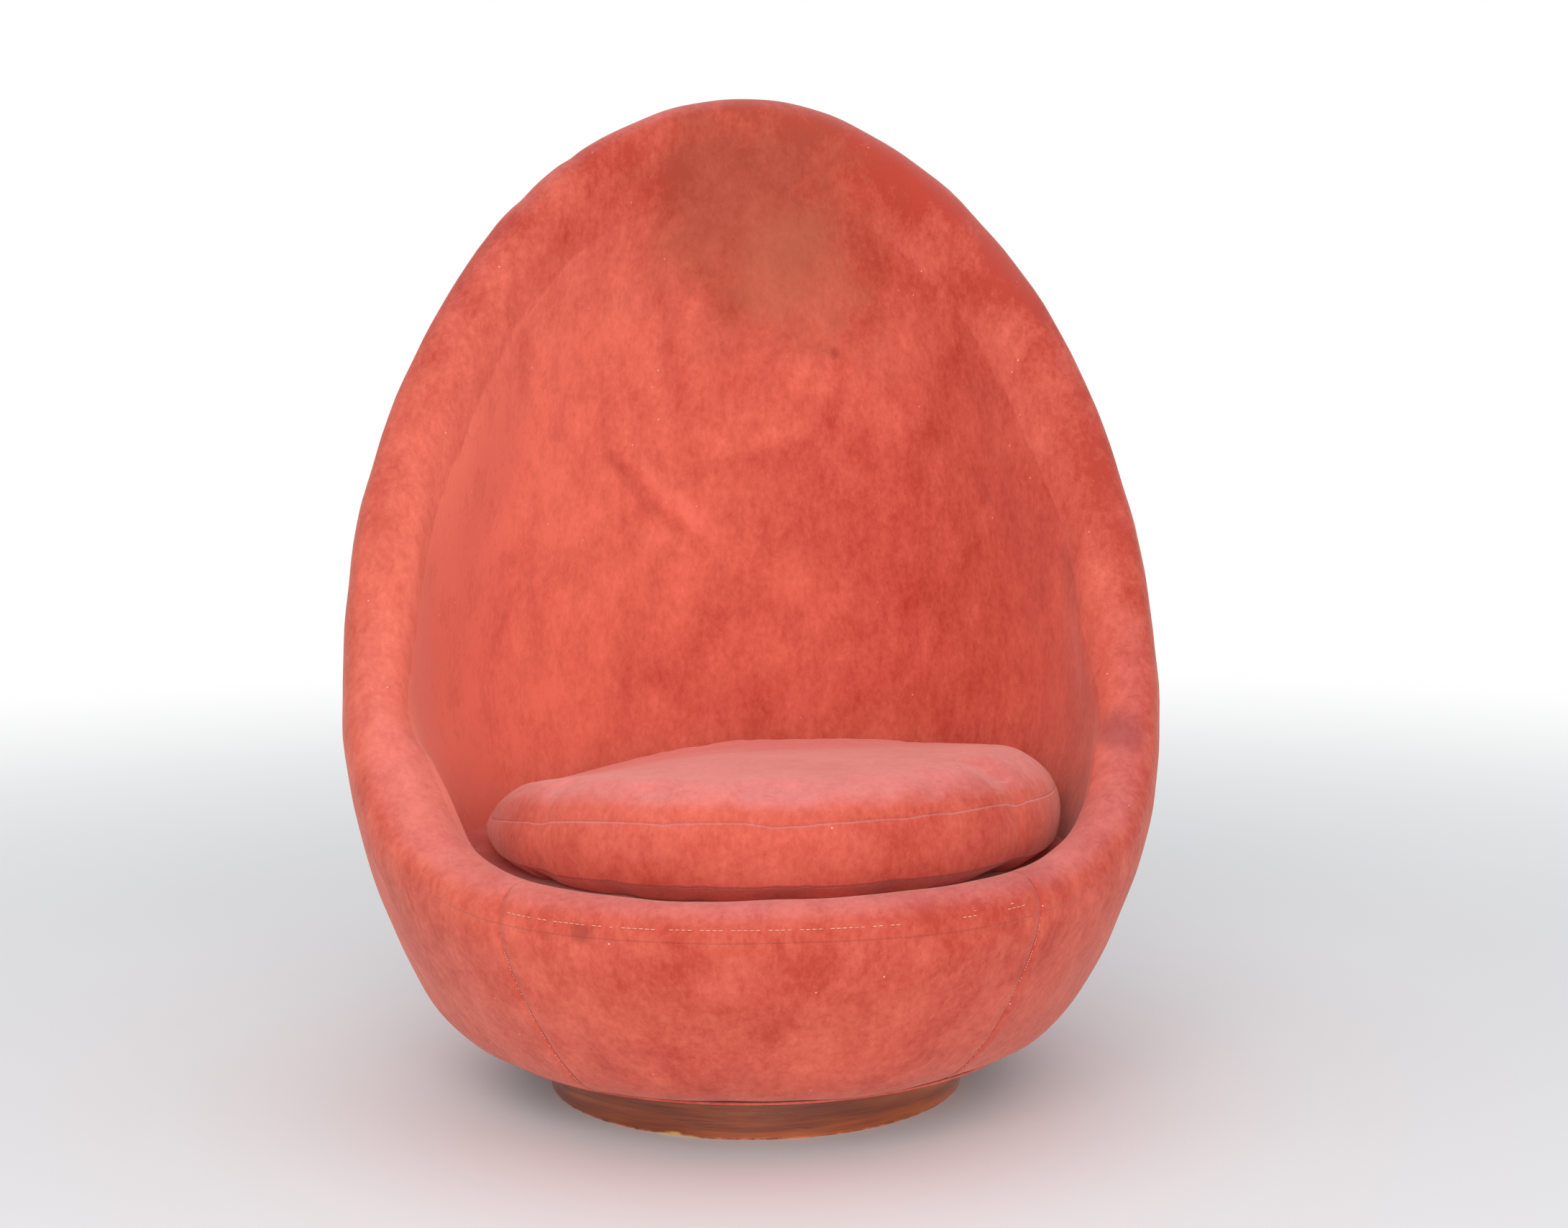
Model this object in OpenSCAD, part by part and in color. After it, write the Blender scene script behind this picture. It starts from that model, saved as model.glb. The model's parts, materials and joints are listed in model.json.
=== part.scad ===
// Swivel egg chair: a padded egg-shaped bucket on a ball-bearing swivel and a round wooden plinth.
// The front faces -Y. The origin is on the floor, on the swivel's axis.

/* [Egg body] */
// Half-width of the rim at the middle of the wall
rim_half_w = 383; // [350:1:410]
// Height of the top of the back above the floor
body_h = 1055; // [980:5:1120]
// Reach of the front edge ahead of the swivel's axis
front_reach = 391; // [370:1:400]
// Reach of the rim's top behind the swivel's axis
rim_back_reach = 313; // [300:1:330]
// Height of the front edge's crest
front_crest_h = 266; // [258:1:272]
// Height at which the rim is widest
widest_h = 467; // [440:1:500]
// Steepness of the rim between the arms and the front edge
rim_rise = 2.2; // [1.8:0.1:3]
// Radius of the body's lower edge
foot_edge_r = 277; // [272:1:284]
// Height of the body's lower edge above the floor
foot_edge_h = 57; // [57:1:60]
// Slope of the bowl at its lower edge, in degrees above level
bowl_slope = 12; // [8:1:16]
// How far the back swells behind the rim
back_swell = 102; // [95:1:115]
// How far down from the rim's line the slope into the bucket reaches
slope_drop = 260; // [200:10:320]
// How much thicker the padding is on the sides of the bucket
side_fill = 30; // [10:1:40]
// Azimuth of the front panel's side seams, in degrees from the front
seam_azimuth = 36; // [27:9:45]

/* [Wall] */
// Thickness of the padded wall
wall_t = 68; // [66:1:72]
// Thickness of the velvet cover with its backing
cover_t = 2.5; // [2:0.1:3]
// Thickness of the plywood ribs and the rim hoop
frame_t = 12; // [10:0.5:13]
// Width of a rib's face
rib_w = 24; // [18:1:30]
// Thickness of the webbing straps
strap_t = 2.4; // [2:0.1:2.6]
// Width of a seat strap
strap_w = 50; // [40:1:56]
// Depth of the rim hoop along the wall
hoop_depth = 22; // [16:1:26]

/* [Seat] */
// Height of the webbing's upper face above the floor
web_h = 206; // [200:1:208]
// Thickness of the deck's pad
deck_pad_t = 38; // [34:1:40]
// Width of the seat ring's upper face
ring_w = 34; // [28:1:40]
// Thickness of the seat ring
ring_t = 18; // [15:1:20]

/* [Seat cushion] */
// Clearance between the cushion's seams and the bucket around it
cushion_clearance = 9; // [8:0.5:14]
// Height of the crown above the deck
cushion_h = 90; // [84:1:100]
// Height of the boxing between its seams
boxing_h = 61; // [59:1:68]
// How far the lower seam stands above the deck
lower_seam_lift = 18; // [16:1:22]
// How much lower the cushion's upper seam lies at its left end
left_slump = 46; // [30:1:48]
// How much lower the cushion's upper seam lies at its right end
right_slump = 12; // [0:1:30]
// How much further the cushion's left end stays from the bucket
left_gap = 36; // [0:1:50]
// Thickness of the cushion's cover
cushion_cover_t = 2.2; // [1.8:0.1:2.6]
// Width of the zip's tape
zip_w = 15; // [12:1:15]

/* [Swivel] */
// Ball diameter
ball_d = 8; // [6:0.5:8]
// Number of balls
ball_count = 20; // [12:2:24]
// Radius of the ball race
race_r = 90; // [80:1:95]
// Outer radius of the swivel plates
plate_r = 112; // [104:1:118]
// Thickness of a swivel plate
plate_t = 4; // [3.6:0.1:4.4]
// Radius of the king pin
pin_r = 8; // [6:0.5:9]

/* [Plinth] */
// Outer radius of the plinth
plinth_r = 215; // [205:1:225]
// Height of the plinth
plinth_h = 44; // [40:1:44]
// Thickness of the plinth's hoop
hoop_t = 18; // [15:1:22]
// Thickness of the plinth's top board
top_board_t = 18; // [15:1:19]

/* [Hidden] */
gap = 0.3;                      // clearance between neighbours that only rest on each other
through = 60;                   // length of a cut that goes right through a board
turn_step = 9;                  // azimuth step of every shell, so that nested shells keep their gaps
outer_steps = 10;
roll_steps = 4;
slope_steps = 8;
inner_steps = 6;
half_wall = wall_t / 2;
half_frame = frame_t / 2;
layer_gap = 4.1;                // room for the facets of the ribs beside the next layer
strap_d = half_frame + layer_gap;
padding_d = strap_d + strap_t + 3 * gap;
cover_d = half_wall - cover_t;
skin_d = cover_d - gap;
blind_seam_angle = 18;          // where the outside cover meets the inside cover on the rim's roll
blind_seam = 1 + blind_seam_angle / 180;

// The rim's middle line
rim_top_h = body_h - half_wall;
rim_front_h = front_crest_h - half_wall;
rim_front_y = front_reach - half_wall;
rim_back_y = rim_back_reach - half_wall;
foot_r = foot_edge_r - half_wall * sin(bowl_slope);
foot_h = foot_edge_h + half_wall * cos(bowl_slope);
pull_front = 0.205;             // length of the lower handle as a share of a meridian's chord
pull_back = 0.165;
rim_drop = 0.12;                // length of the upper handle as a share of a meridian's height
rim_swell = 2.4;
slope_angle_front = 165;        // the roll's angle at which the slope into the bucket starts
slope_angle_side = 92;
slope_azimuths = [30, 66];
slope_low_h = 345;
slope_leave = 0.3;              // the slope's handles, as shares of its length
slope_leave_most = 55;
slope_meet = 0.4;
fill_full_h = 600;
turn_end = 0.87;

// Heights from the floor up
race_depth = 1.7;               // how deep a ball sits in each plate
lower_plate_h = plinth_h;
ball_h = lower_plate_h + plate_t + ball_d / 2 - race_depth;
upper_plate_h = 2 * ball_h - lower_plate_h - plate_t;
board_bottom_h = upper_plate_h + plate_t;
board_top_h = foot_h - half_frame / cos(bowl_slope) - 3 * gap;
board_r = foot_r - 2;
board_hole_r = 24;
deck_bottom_h = web_h + gap;
deck_h = deck_bottom_h + deck_pad_t + gap + cover_t;
straps_h = web_h - 2 * strap_t - gap;
ring_bottom_h = straps_h - gap - ring_t;
rib_azimuths = [0, 27, 54, 81, 108, 135, 162, 180];

velvet = [0.78, 0.33, 0.27];
velvet_dark = [0.66, 0.26, 0.22];
walnut = [0.36, 0.17, 0.09];
plywood = [0.80, 0.66, 0.47];
foam = [0.93, 0.88, 0.68];
steel = [0.62, 0.63, 0.65];
webbing = [0.45, 0.36, 0.26];
black_cloth = [0.12, 0.12, 0.13];

// Functions for the wall

function mix(a, b, u) = a + (b - a) * u;
function unit(v) = v / norm(v);

// The rim's middle line at azimuth a, 0 at the front and 180 at the back
function rim_point(a) = let (c = cos(a))
    c < 0 ? [rim_half_w * sin(a), -rim_back_y * c, widest_h - (rim_top_h - widest_h) * c]
          : [rim_half_w * sin(a), -rim_front_y * c,
             rim_front_h + (widest_h - rim_front_h) * pow(1 - c, rim_rise)];

// The middle surface: a cubic meridian at azimuth a, from the foot at t = 0 to the rim at t = 1
function middle(a, t) =
    let (out = [sin(a), -cos(a), 0], top = rim_point(a), foot = [foot_r * out.x, foot_r * out.y, foot_h],
         lift = max(0, min(1, (top.z - rim_front_h) / (rim_top_h - rim_front_h))),
         pull = mix(pull_front, pull_back, lift) * norm(top - foot),
         lower = foot + pull * [out.x * cos(bowl_slope), out.y * cos(bowl_slope), sin(bowl_slope)],
         upper = top + (rim_swell + back_swell * pow(lift, 1.3)) * out
                 - [0, 0, rim_drop * (top.z - foot_h)])
    pow(1 - t, 3) * foot + 3 * pow(1 - t, 2) * t * lower + 3 * (1 - t) * t * t * upper + pow(t, 3) * top;

// The wall's directions, which stop turning short of the rim so that the tight curl there doesn't fold it
function along(a, t) = let (u = min(t, turn_end)) unit(middle(a, u + 0.001) - middle(a, max(0, u - 0.001)));
function outward(a, t) = let (u = min(t, turn_end))
    unit(cross(middle(a + 0.1, u) - middle(a - 0.1, u), along(a, u)));

// The folded section: s runs 0 to 1 up the outside, 1 to 2 over the rim's roll, 2 to 3 down the inside,
// at distance d from the middle surface
function wall_point(a, s, d) =
    s <= 1 ? middle(a, s) + d * outward(a, s)
    : s < 2 ? middle(a, 1) + d * (cos(180 * (s - 1)) * outward(a, 1) + sin(180 * (s - 1)) * along(a, 1))
    : middle(a, 3 - s) - d * outward(a, 3 - s);

// The s at which the inside reaches height h
function section_at(a, d, h, low = 1.5, high = 3, n = 16) =
    n == 0 ? (low + high) / 2
    : let (m = (low + high) / 2)
      wall_point(a, m, d).z > h ? section_at(a, d, h, m, high, n - 1) : section_at(a, d, h, low, m, n - 1);

function inside_at(a, d, h) = wall_point(a, section_at(a, d, h), d);

function steps(from, to, n) = [for (k = [0:n]) mix(from, to, k / n)];
function backwards(v) = [for (k = [len(v) - 1:-1:0]) v[k]];

// A smooth step from 0 at the value low to 1 at high
function eased(v, low, high) = let (u = max(0, min(1, (v - low) / (high - low)))) u * u * (3 - 2 * u);

// Where the slope from the rim into the bucket leaves the roll, and where it meets the inside
function slope_start(a) = 1 + mix(slope_angle_front, slope_angle_side,
    eased(abs(a > 180 ? a - 360 : a), slope_azimuths[0], slope_azimuths[1])) / 180;
function slope_end(a) = let (h = rim_point(a).z)
    section_at(a, half_wall, max(min(h, slope_low_h), h - slope_drop), 2, 3);

// The inside's face below the slope, thicker on the sides of the bucket
function face_point(a, s, d) = let (h = middle(a, 3 - s).z)
    wall_point(a, s, d + side_fill * pow(sin(a), 2) * eased(h, slope_low_h, fill_full_h));

// A point of the slope, a cubic curve that leaves the roll at u = 0 and meets the inside at u = 1
function slope_point(a, u, d, from, to) =
    let (first = wall_point(a, from, d), last = face_point(a, to, d), l = norm(last - first),
         b = first + min(slope_leave * l, slope_leave_most) * unit(wall_point(a, from + 0.002, d) - first),
         c = last - slope_meet * l * unit(face_point(a, to + 0.002, d) - last))
    pow(1 - u, 3) * first + 3 * pow(1 - u, 2) * u * b + 3 * (1 - u) * u * u * c + pow(u, 3) * last;

// Stations of an inside layer's face: any first ones, then from the blind seam over the roll, along the
// slope and down to height h
function inside_line(a, d, h, first = []) =
    let (from = slope_start(a), to = slope_end(a), foot = max(section_at(a, d, h), to + 0.02))
    [each [for (s = [each first, each steps(blind_seam, from, roll_steps)]) wall_point(a, s, d)],
     each [for (k = [1:slope_steps]) slope_point(a, k / slope_steps, d, from, to)],
     each [for (k = [1:inner_steps]) face_point(a, mix(to, foot, k / inner_steps), d)]];

// The same stations straight along the wall, at the layer's back
function straight_line(a, d, h, first = []) =
    let (from = slope_start(a), to = slope_end(a), foot = max(section_at(a, d, h), to + 0.02))
    [for (s = [each first, each steps(blind_seam, from, roll_steps),
               each [for (k = [1:slope_steps]) mix(from, to, k / slope_steps)],
               each [for (k = [1:inner_steps]) mix(to, foot, k / inner_steps)]]) wall_point(a, s, d)];

function outside_line(a, d, from, to, n) = [for (s = steps(from, to, n)) wall_point(a, s, d)];

// A closed section between two lines of as many points
function band(outer, inner) = [each outer, each backwards(inner)];

// A solid through closed sections, capped at both ends or joined in a ring. Each section runs out along
// one face and back along the other, and both faces split their quads along the same diagonal.
module loft(sections, ring = false) {
    n = len(sections);
    m = len(sections[0]);
    half = m / 2;
    function at(i, j) = (i % n) * m + (j % m);
    sides = [for (i = [0:n - (ring ? 1 : 2)], j = [0:m - 1]) each j < half
        ? [[at(i, j), at(i, j + 1), at(i + 1, j + 1)], [at(i, j), at(i + 1, j + 1), at(i + 1, j)]]
        : [[at(i, j), at(i, j + 1), at(i + 1, j)], [at(i, j + 1), at(i + 1, j + 1), at(i + 1, j)]]];
    first_cap = [for (j = [0:half - 2])
        each [[at(0, j), at(0, m - 1 - j), at(0, m - 2 - j)], [at(0, j), at(0, m - 2 - j), at(0, j + 1)]]];
    last_cap = [for (j = [0:half - 2])
        each [[at(n - 1, j), at(n - 1, j + 1), at(n - 1, m - 2 - j)],
              [at(n - 1, j), at(n - 1, m - 2 - j), at(n - 1, m - 1 - j)]]];
    polyhedron(points = [for (s = sections) each s],
        faces = ring ? sides : [each sides, each first_cap, each last_cap], convexity = 8);
}

// A closed solid through rings, each end drawn to one point. Rings from flip_from up to flip_to
// split their quads along the other diagonal, as the face that they lie on does.
module cushion_form(first, rings, last, flip_from = 0, flip_to = 0) {
    n = len(rings);
    m = len(rings[0]);
    function at(i, j) = 1 + i * m + (j % m);
    end = 1 + n * m;
    sides = [for (i = [0:n - 2], j = [0:m - 1]) each i >= flip_from && i < flip_to
        ? [[at(i, j), at(i, j + 1), at(i + 1, j)], [at(i, j + 1), at(i + 1, j + 1), at(i + 1, j)]]
        : [[at(i, j), at(i + 1, j + 1), at(i + 1, j)], [at(i, j), at(i, j + 1), at(i + 1, j + 1)]]];
    polyhedron(points = [first, each [for (r = rings) each r], last],
        faces = [each sides, each [for (j = [0:m - 1]) [0, at(0, j + 1), at(0, j)]],
                 each [for (j = [0:m - 1]) [end, at(n - 1, j), at(n - 1, j + 1)]]], convexity = 6);
}

module around(count, first = 0) {
    for (k = [0:count - 1])
        rotate([0, 0, first + k * 360 / count]) children();
}

// Plinth

block_w = 60;
block_t = 24;
block_out = sqrt(pow(plinth_r - hoop_t - gap, 2) - pow(block_w / 2, 2));
block_h = plinth_h - top_board_t - gap;
block_screw_r = 2.5;
block_screw_h = plinth_h - 4;
lower_screw_r = 2.2;
lower_screw_circle_r = 70;
lower_screw_l = top_board_t - 4;

module plinth_hoop() {
    color(walnut) rotate_extrude($fn = 128)
        translate([plinth_r - hoop_t, 0]) square([hoop_t, plinth_h]);
}

module plinth_top_board() {
    color(plywood) difference() {
        translate([0, 0, plinth_h - top_board_t])
            cylinder(h = top_board_t, r = plinth_r - hoop_t - gap / 2, $fn = 128);
        around(4, 45) translate([lower_screw_circle_r, 0, plinth_h - lower_screw_l - gap])
            cylinder(h = lower_screw_l + 1, r = lower_screw_r, $fn = 24);
        around(4) translate([block_out - block_t / 2, 0, plinth_h - top_board_t - 1])
            cylinder(h = top_board_t + 2, r = block_screw_r, $fn = 24);
        around(4) translate([block_out - block_t / 2, 0, block_screw_h])
            cylinder(h = plinth_h - block_screw_h + 1, r = 2 * block_screw_r, $fn = 24);
    }
}

module plinth_glue_blocks() {
    color(plywood) around(4) difference() {
        translate([block_out - block_t, -block_w / 2, 1]) cube([block_t, block_w, block_h - 1]);
        translate([block_out - block_t / 2, 0, 4]) cylinder(h = block_h, r = block_screw_r, $fn = 24);
    }
}

module plinth_block_screws() {
    color(steel) around(4) translate([block_out - block_t / 2, 0, 0]) {
        translate([0, 0, 4]) cylinder(h = block_screw_h - 4, r = block_screw_r, $fn = 24);
        translate([0, 0, block_screw_h]) cylinder(h = 3, r = 2 * block_screw_r, $fn = 24);
    }
}

// Swivel

race_clearance = 0.1;
running_clearance = 0.05;
cage_t = 1.2;
head_t = 1.6;
head_r = 4.4;
bolt_r = 3;
bolt_circle_r = 60;
bolt_l = 16;
tee_r = 10;
tee_barrel_r = 4.5;
tee_flange_t = 1.2;
tee_bottom_h = board_bottom_h + 6;
washer_t = 1.5;
clip_t = 1.2;
pin_top_h = board_bottom_h + gap + washer_t + clip_t + 3;

module race_plate(bottom_h, groove_h, bore_r) {
    rotate_extrude($fn = 128) difference() {
        translate([bore_r, bottom_h]) square([plate_r - bore_r, plate_t]);
        translate([race_r, groove_h]) circle(r = ball_d / 2 + race_clearance, $fn = 48);
    }
}

module swivel_lower_plate() {
    color(steel) difference() {
        race_plate(lower_plate_h, ball_h, pin_r);
        around(4, 45) translate([lower_screw_circle_r, 0, lower_plate_h - 1]) {
            cylinder(h = plate_t + 2, r = lower_screw_r, $fn = 24);
            translate([0, 0, 1 + plate_t - head_t - gap]) cylinder(h = plate_t, r = head_r + 0.1, $fn = 24);
        }
    }
}

module swivel_lower_screws() {
    color(steel) around(4, 45) translate([lower_screw_circle_r, 0, 0]) {
        translate([0, 0, plinth_h - lower_screw_l])
            cylinder(h = lower_screw_l + plate_t - head_t - gap, r = lower_screw_r, $fn = 24);
        translate([0, 0, lower_plate_h + plate_t - head_t - gap]) cylinder(h = head_t, r = head_r, $fn = 24);
    }
}

module swivel_balls() {
    color(steel) around(ball_count) translate([race_r, 0, ball_h]) sphere(d = ball_d, $fn = 48);
}

module swivel_ball_cage() {
    color(steel) difference() {
        translate([0, 0, ball_h - cage_t / 2]) cylinder(h = cage_t, r = race_r + ball_d, $fn = 128);
        translate([0, 0, ball_h - cage_t]) cylinder(h = 2 * cage_t, r = race_r - ball_d, $fn = 128);
        around(ball_count) translate([race_r, 0, ball_h - cage_t])
            cylinder(h = 2 * cage_t, r = ball_d / 2 + race_clearance, $fn = 48);
    }
}

module swivel_upper_plate() {
    color(steel) difference() {
        race_plate(upper_plate_h, ball_h, pin_r + running_clearance);
        around(4) translate([bolt_circle_r, 0, upper_plate_h - 1]) {
            cylinder(h = plate_t + 2, r = bolt_r, $fn = 24);
            cylinder(h = 1 + head_t + gap, r = 2 * bolt_r + 0.1, $fn = 24);
        }
    }
}

module swivel_upper_bolts() {
    color(steel) around(4) translate([bolt_circle_r, 0, upper_plate_h + gap]) {
        cylinder(h = head_t, r = 2 * bolt_r, $fn = 24);
        translate([0, 0, head_t]) cylinder(h = bolt_l - head_t, r = bolt_r, $fn = 24);
    }
}

module swivel_tee_nuts() {
    color(steel) around(4) translate([bolt_circle_r, 0, 0]) difference() {
        union() {
            translate([0, 0, tee_bottom_h])
                cylinder(h = board_top_h - tee_bottom_h, r = tee_barrel_r, $fn = 32);
            translate([0, 0, board_top_h]) cylinder(h = tee_flange_t, r = tee_r, $fn = 32);
        }
        translate([0, 0, board_bottom_h]) cylinder(h = through, r = bolt_r, $fn = 24);
    }
}

module king_pin() {
    color(steel) rotate_extrude($fn = 64) difference() {
        union() {
            translate([0, lower_plate_h]) square([pin_r, pin_top_h - lower_plate_h]);
            translate([0, lower_plate_h + plate_t])
                square([pin_r + 3, upper_plate_h - lower_plate_h - plate_t - gap]);
        }
        translate([pin_r - 1.2, board_bottom_h + gap + washer_t]) square([5, clip_t + 0.1]);
    }
}

module king_pin_washer() {
    color(steel) translate([0, 0, board_bottom_h + gap]) difference() {
        cylinder(h = washer_t, r = pin_r + 9, $fn = 64);
        translate([0, 0, -1]) cylinder(h = washer_t + 2, r = pin_r + 0.1, $fn = 64);
    }
}

module king_pin_clip() {
    color(steel) translate([0, 0, board_bottom_h + gap + washer_t + 0.05]) difference() {
        cylinder(h = clip_t, r = pin_r + 4, $fn = 64);
        translate([0, 0, -1]) cylinder(h = clip_t + 2, r = pin_r - 1.1, $fn = 64);
        translate([0, -(pin_r - 2.5), -1]) cube([pin_r + 5, 2 * (pin_r - 2.5), clip_t + 2]);
    }
}

// Frame

ribs = [for (a = rib_azimuths) each (a == 0 || a == 180 ? [a] : [a, 360 - a])];
foot_block_l = 46;
foot_block_h = 24;
foot_block_r = foot_r - half_frame * sin(bowl_slope) - gap;
dust_cover_t = 0.8;
hem_w = 36;

module base_board() {
    color(plywood) difference() {
        translate([0, 0, board_bottom_h]) cylinder(h = board_top_h - board_bottom_h, r = board_r, $fn = 160);
        translate([0, 0, board_bottom_h - 1]) cylinder(h = through, r = board_hole_r, $fn = 64);
        around(4) translate([bolt_circle_r, 0, board_bottom_h - 1]) {
            cylinder(h = through, r = bolt_r, $fn = 24);
            translate([0, 0, tee_bottom_h - board_bottom_h + 1])
                cylinder(h = through, r = tee_barrel_r, $fn = 32);
        }
    }
}

module ring_of_cloth(inner_r, outer_r, top_h, t) {
    translate([0, 0, top_h - t]) difference() {
        cylinder(h = t, r = outer_r, $fn = 160);
        translate([0, 0, -1]) cylinder(h = t + 2, r = inner_r, $fn = 128);
    }
}

module cover_hem() {
    color(velvet) ring_of_cloth(foot_edge_r - hem_w, foot_edge_r, board_bottom_h - gap, cover_t);
}

module dust_cover() {
    color(black_cloth)
        ring_of_cloth(plate_r + 2, board_r - 6, board_bottom_h - 2 * gap - cover_t, dust_cover_t);
}

module rib_foot_blocks() {
    color(plywood) for (a = ribs) rotate([0, 0, a])
        translate([-rib_w / 2, -foot_block_r, board_top_h]) cube([rib_w, foot_block_l, foot_block_h]);
}

// The t that lies a length l short of the rim
function short_of_rim(a, l) = 1 - 0.1 * l / norm(rim_point(a) - middle(a, 0.9));

// Half the azimuth that a width w takes at a point's radius
function half_turn_for(w, p) = asin(min(0.9, w / 2 / norm([p.x, p.y])));

module rib(a) {
    loft([for (k = [0:outer_steps])
        let (u = k / outer_steps, q = half_turn_for(rib_w, middle(a, u)), left = a - q, right = a + q,
             tl = u * short_of_rim(left, hoop_depth + 1.3), tr = u * short_of_rim(right, hoop_depth + 1.3))
        [wall_point(left, tl, half_frame), wall_point(right, tr, half_frame),
         wall_point(right, tr, -half_frame), wall_point(left, tl, -half_frame)]]);
}

module frame_ribs() {
    color(plywood) for (a = ribs) rib(a);
}

module rim_hoop() {
    color(plywood) loft([for (a = [0:turn_step:359]) let (start = short_of_rim(a, hoop_depth))
        [wall_point(a, start, half_frame), wall_point(a, 1, half_frame),
         wall_point(a, 1, -half_frame), wall_point(a, start, -half_frame)]], ring = true);
}

ring_gap = 1.8;                 // room for the facets of the ribs beside the seat ring
strap_inset = 4;
long_pitch = 88;
cross_pitch = 92;
cross_shift = -10;

function ring_corner(a, h, inset) =
    let (p = inside_at(a, half_frame + ring_gap, h), r = norm([p.x, p.y]))
    [p.x * (r - inset) / r, p.y * (r - inset) / r, h];

module seat_ring() {
    color(plywood) loft([for (a = [0:turn_step:359])
        [ring_corner(a, ring_bottom_h, 0), ring_corner(a, ring_bottom_h + ring_t, 0),
         ring_corner(a, ring_bottom_h + ring_t, ring_w), ring_corner(a, ring_bottom_h, ring_w)]],
        ring = true);
}

module ring_plan(inset) {
    polygon([for (a = [0:turn_step:359]) let (p = ring_corner(a, ring_bottom_h + ring_t, inset)) [p.x, p.y]]);
}

// Parallel straps across the seat ring, their lower faces at height h
module straps(count, pitch, h) {
    reach = 2 * foot_edge_r;
    for (k = [0:count - 1])
        translate([(k - (count - 1) / 2) * pitch - strap_w / 2, -reach, h])
            cube([strap_w, 2 * reach, strap_t]);
}

module over_ring() {
    intersection() {
        translate([0, 0, ring_bottom_h]) linear_extrude(through) ring_plan(strap_inset);
        children();
    }
}

module seat_straps_long() {
    color(webbing) over_ring() straps(5, long_pitch, straps_h);
}

module seat_straps_cross() {
    color(webbing) over_ring() translate([0, cross_shift, 0]) rotate([0, 0, 90])
        straps(5, cross_pitch, straps_h + strap_t + gap);
}

back_strap_heights = [for (k = [0:5]) body_h * (0.285 + 0.09 * k)];
back_strap_margin = 40;        // how far a strap's ends stay below the rim

module back_straps() {
    color(webbing) for (h = back_strap_heights)
        loft([for (a = [0:turn_step:359]) if (rim_point(a).z > h + strap_w + back_strap_margin)
            let (low = section_at(a, strap_d, h), high = section_at(a, strap_d, h + strap_w))
            [wall_point(a, low, strap_d), wall_point(a, high, strap_d),
             wall_point(a, high, strap_d + strap_t), wall_point(a, low, strap_d + strap_t)]]);
}

backing_span = [63, 297];

module outside_backing() {
    color([0.62, 0.52, 0.40]) loft([for (a = [backing_span[0]:turn_step:backing_span[1]])
        band(outside_line(a, strap_d + strap_t, 0.1, 1, outer_steps - 1),
             outside_line(a, strap_d, 0.1, 1, outer_steps - 1))]);
}

// Padding and covers

seam_gap = 0.004;               // the seams' play, as a share of the roll's half circle
foam_joint = 1.012;             // where the inside foam meets the outside padding
foam_foot_h = web_h + 2;
deck_clearance = 3;

module outside_padding() {
    color(foam) loft([for (a = [0:turn_step:359])
        band(outside_line(a, skin_d, 0, 1, outer_steps),
             outside_line(a, padding_d, 0, 1, outer_steps))], ring = true);
}

module inside_foam() {
    color(foam) loft([for (a = [0:turn_step:359])
        band(inside_line(a, skin_d, foam_foot_h, [foam_joint]),
             straight_line(a, padding_d, foam_foot_h, [foam_joint]))], ring = true);
}

function deck_corner(a, h) = inside_at(a, half_wall + deck_clearance, h);

module deck_layer(bottom_h, top_h) {
    centre = [0, -20];
    cushion_form([centre.x, centre.y, bottom_h],
        [[for (a = [0:turn_step:359]) deck_corner(a, bottom_h)],
         [for (a = [0:turn_step:359]) deck_corner(a, top_h)]],
        [centre.x, centre.y, top_h]);
}

module deck_pad() {
    color(foam) deck_layer(deck_bottom_h, deck_bottom_h + deck_pad_t);
}

module deck_cloth() {
    color(velvet_dark) deck_layer(deck_h - cover_t, deck_h);
}

function outside_skin_line(a, d) =
    [each outside_line(a, d, 0, 1, outer_steps), wall_point(a, blind_seam - seam_gap, d)];

module outside_skin(from, to) {
    loft([for (a = [from:turn_step:to])
        band(outside_skin_line(a, half_wall), outside_skin_line(a, cover_d))]);
}

module outside_cover() {
    color(velvet) outside_skin(seam_azimuth, 360 - seam_azimuth);
}

module front_panel() {
    color(velvet) outside_skin(-seam_azimuth, seam_azimuth);
}

module inside_skin(from, to) {
    loft([for (a = [from:turn_step:to])
        band(inside_line(a, half_wall, foam_foot_h), inside_line(a, cover_d, foam_foot_h))]);
}

module inside_cover() {
    color(velvet) inside_skin(seam_azimuth, 360 - seam_azimuth);
}

module front_lip() {
    color(velvet) inside_skin(-seam_azimuth, seam_azimuth);
}

// Seat cushion

seat_line_h = deck_h + lower_seam_lift - 3;
cushion_bottom_h = deck_h + gap;
crown_h = deck_h + cushion_h;
lower_seam_h = deck_h + lower_seam_lift;
upper_seam_h = lower_seam_h + boxing_h;
boxing_swell = 5;
back_slump = 22;                // how much lower the upper seam lies at the back
crown_power = 2.4;
cushion_mid = [0, -20];

// The cushion's outline follows the bucket, drawn in by e
function cushion_outline(a, e) =
    let (clear = cushion_clearance + left_gap * pow(max(0, -sin(a)), 2),
         p = inside_at(a, half_wall + clear + e, seat_line_h)) [p.x, p.y];

function upper_seam_at(a) =
    upper_seam_h - right_slump * pow(max(0, sin(a)), 3) - left_slump * pow(max(0, -sin(a)), 3)
    - back_slump * pow(max(0, -cos(a)), 2);

// A ring of the top panel at a share of the outline, with its heights eased from the seam to the crown
function top_ring(share, e) = [for (a = [0:turn_step:359])
    let (p = cushion_mid + (cushion_outline(a, e) - cushion_mid) * share)
    [p.x, p.y, mix(crown_h, upper_seam_at(a), pow(share, crown_power)) - e]];

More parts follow.
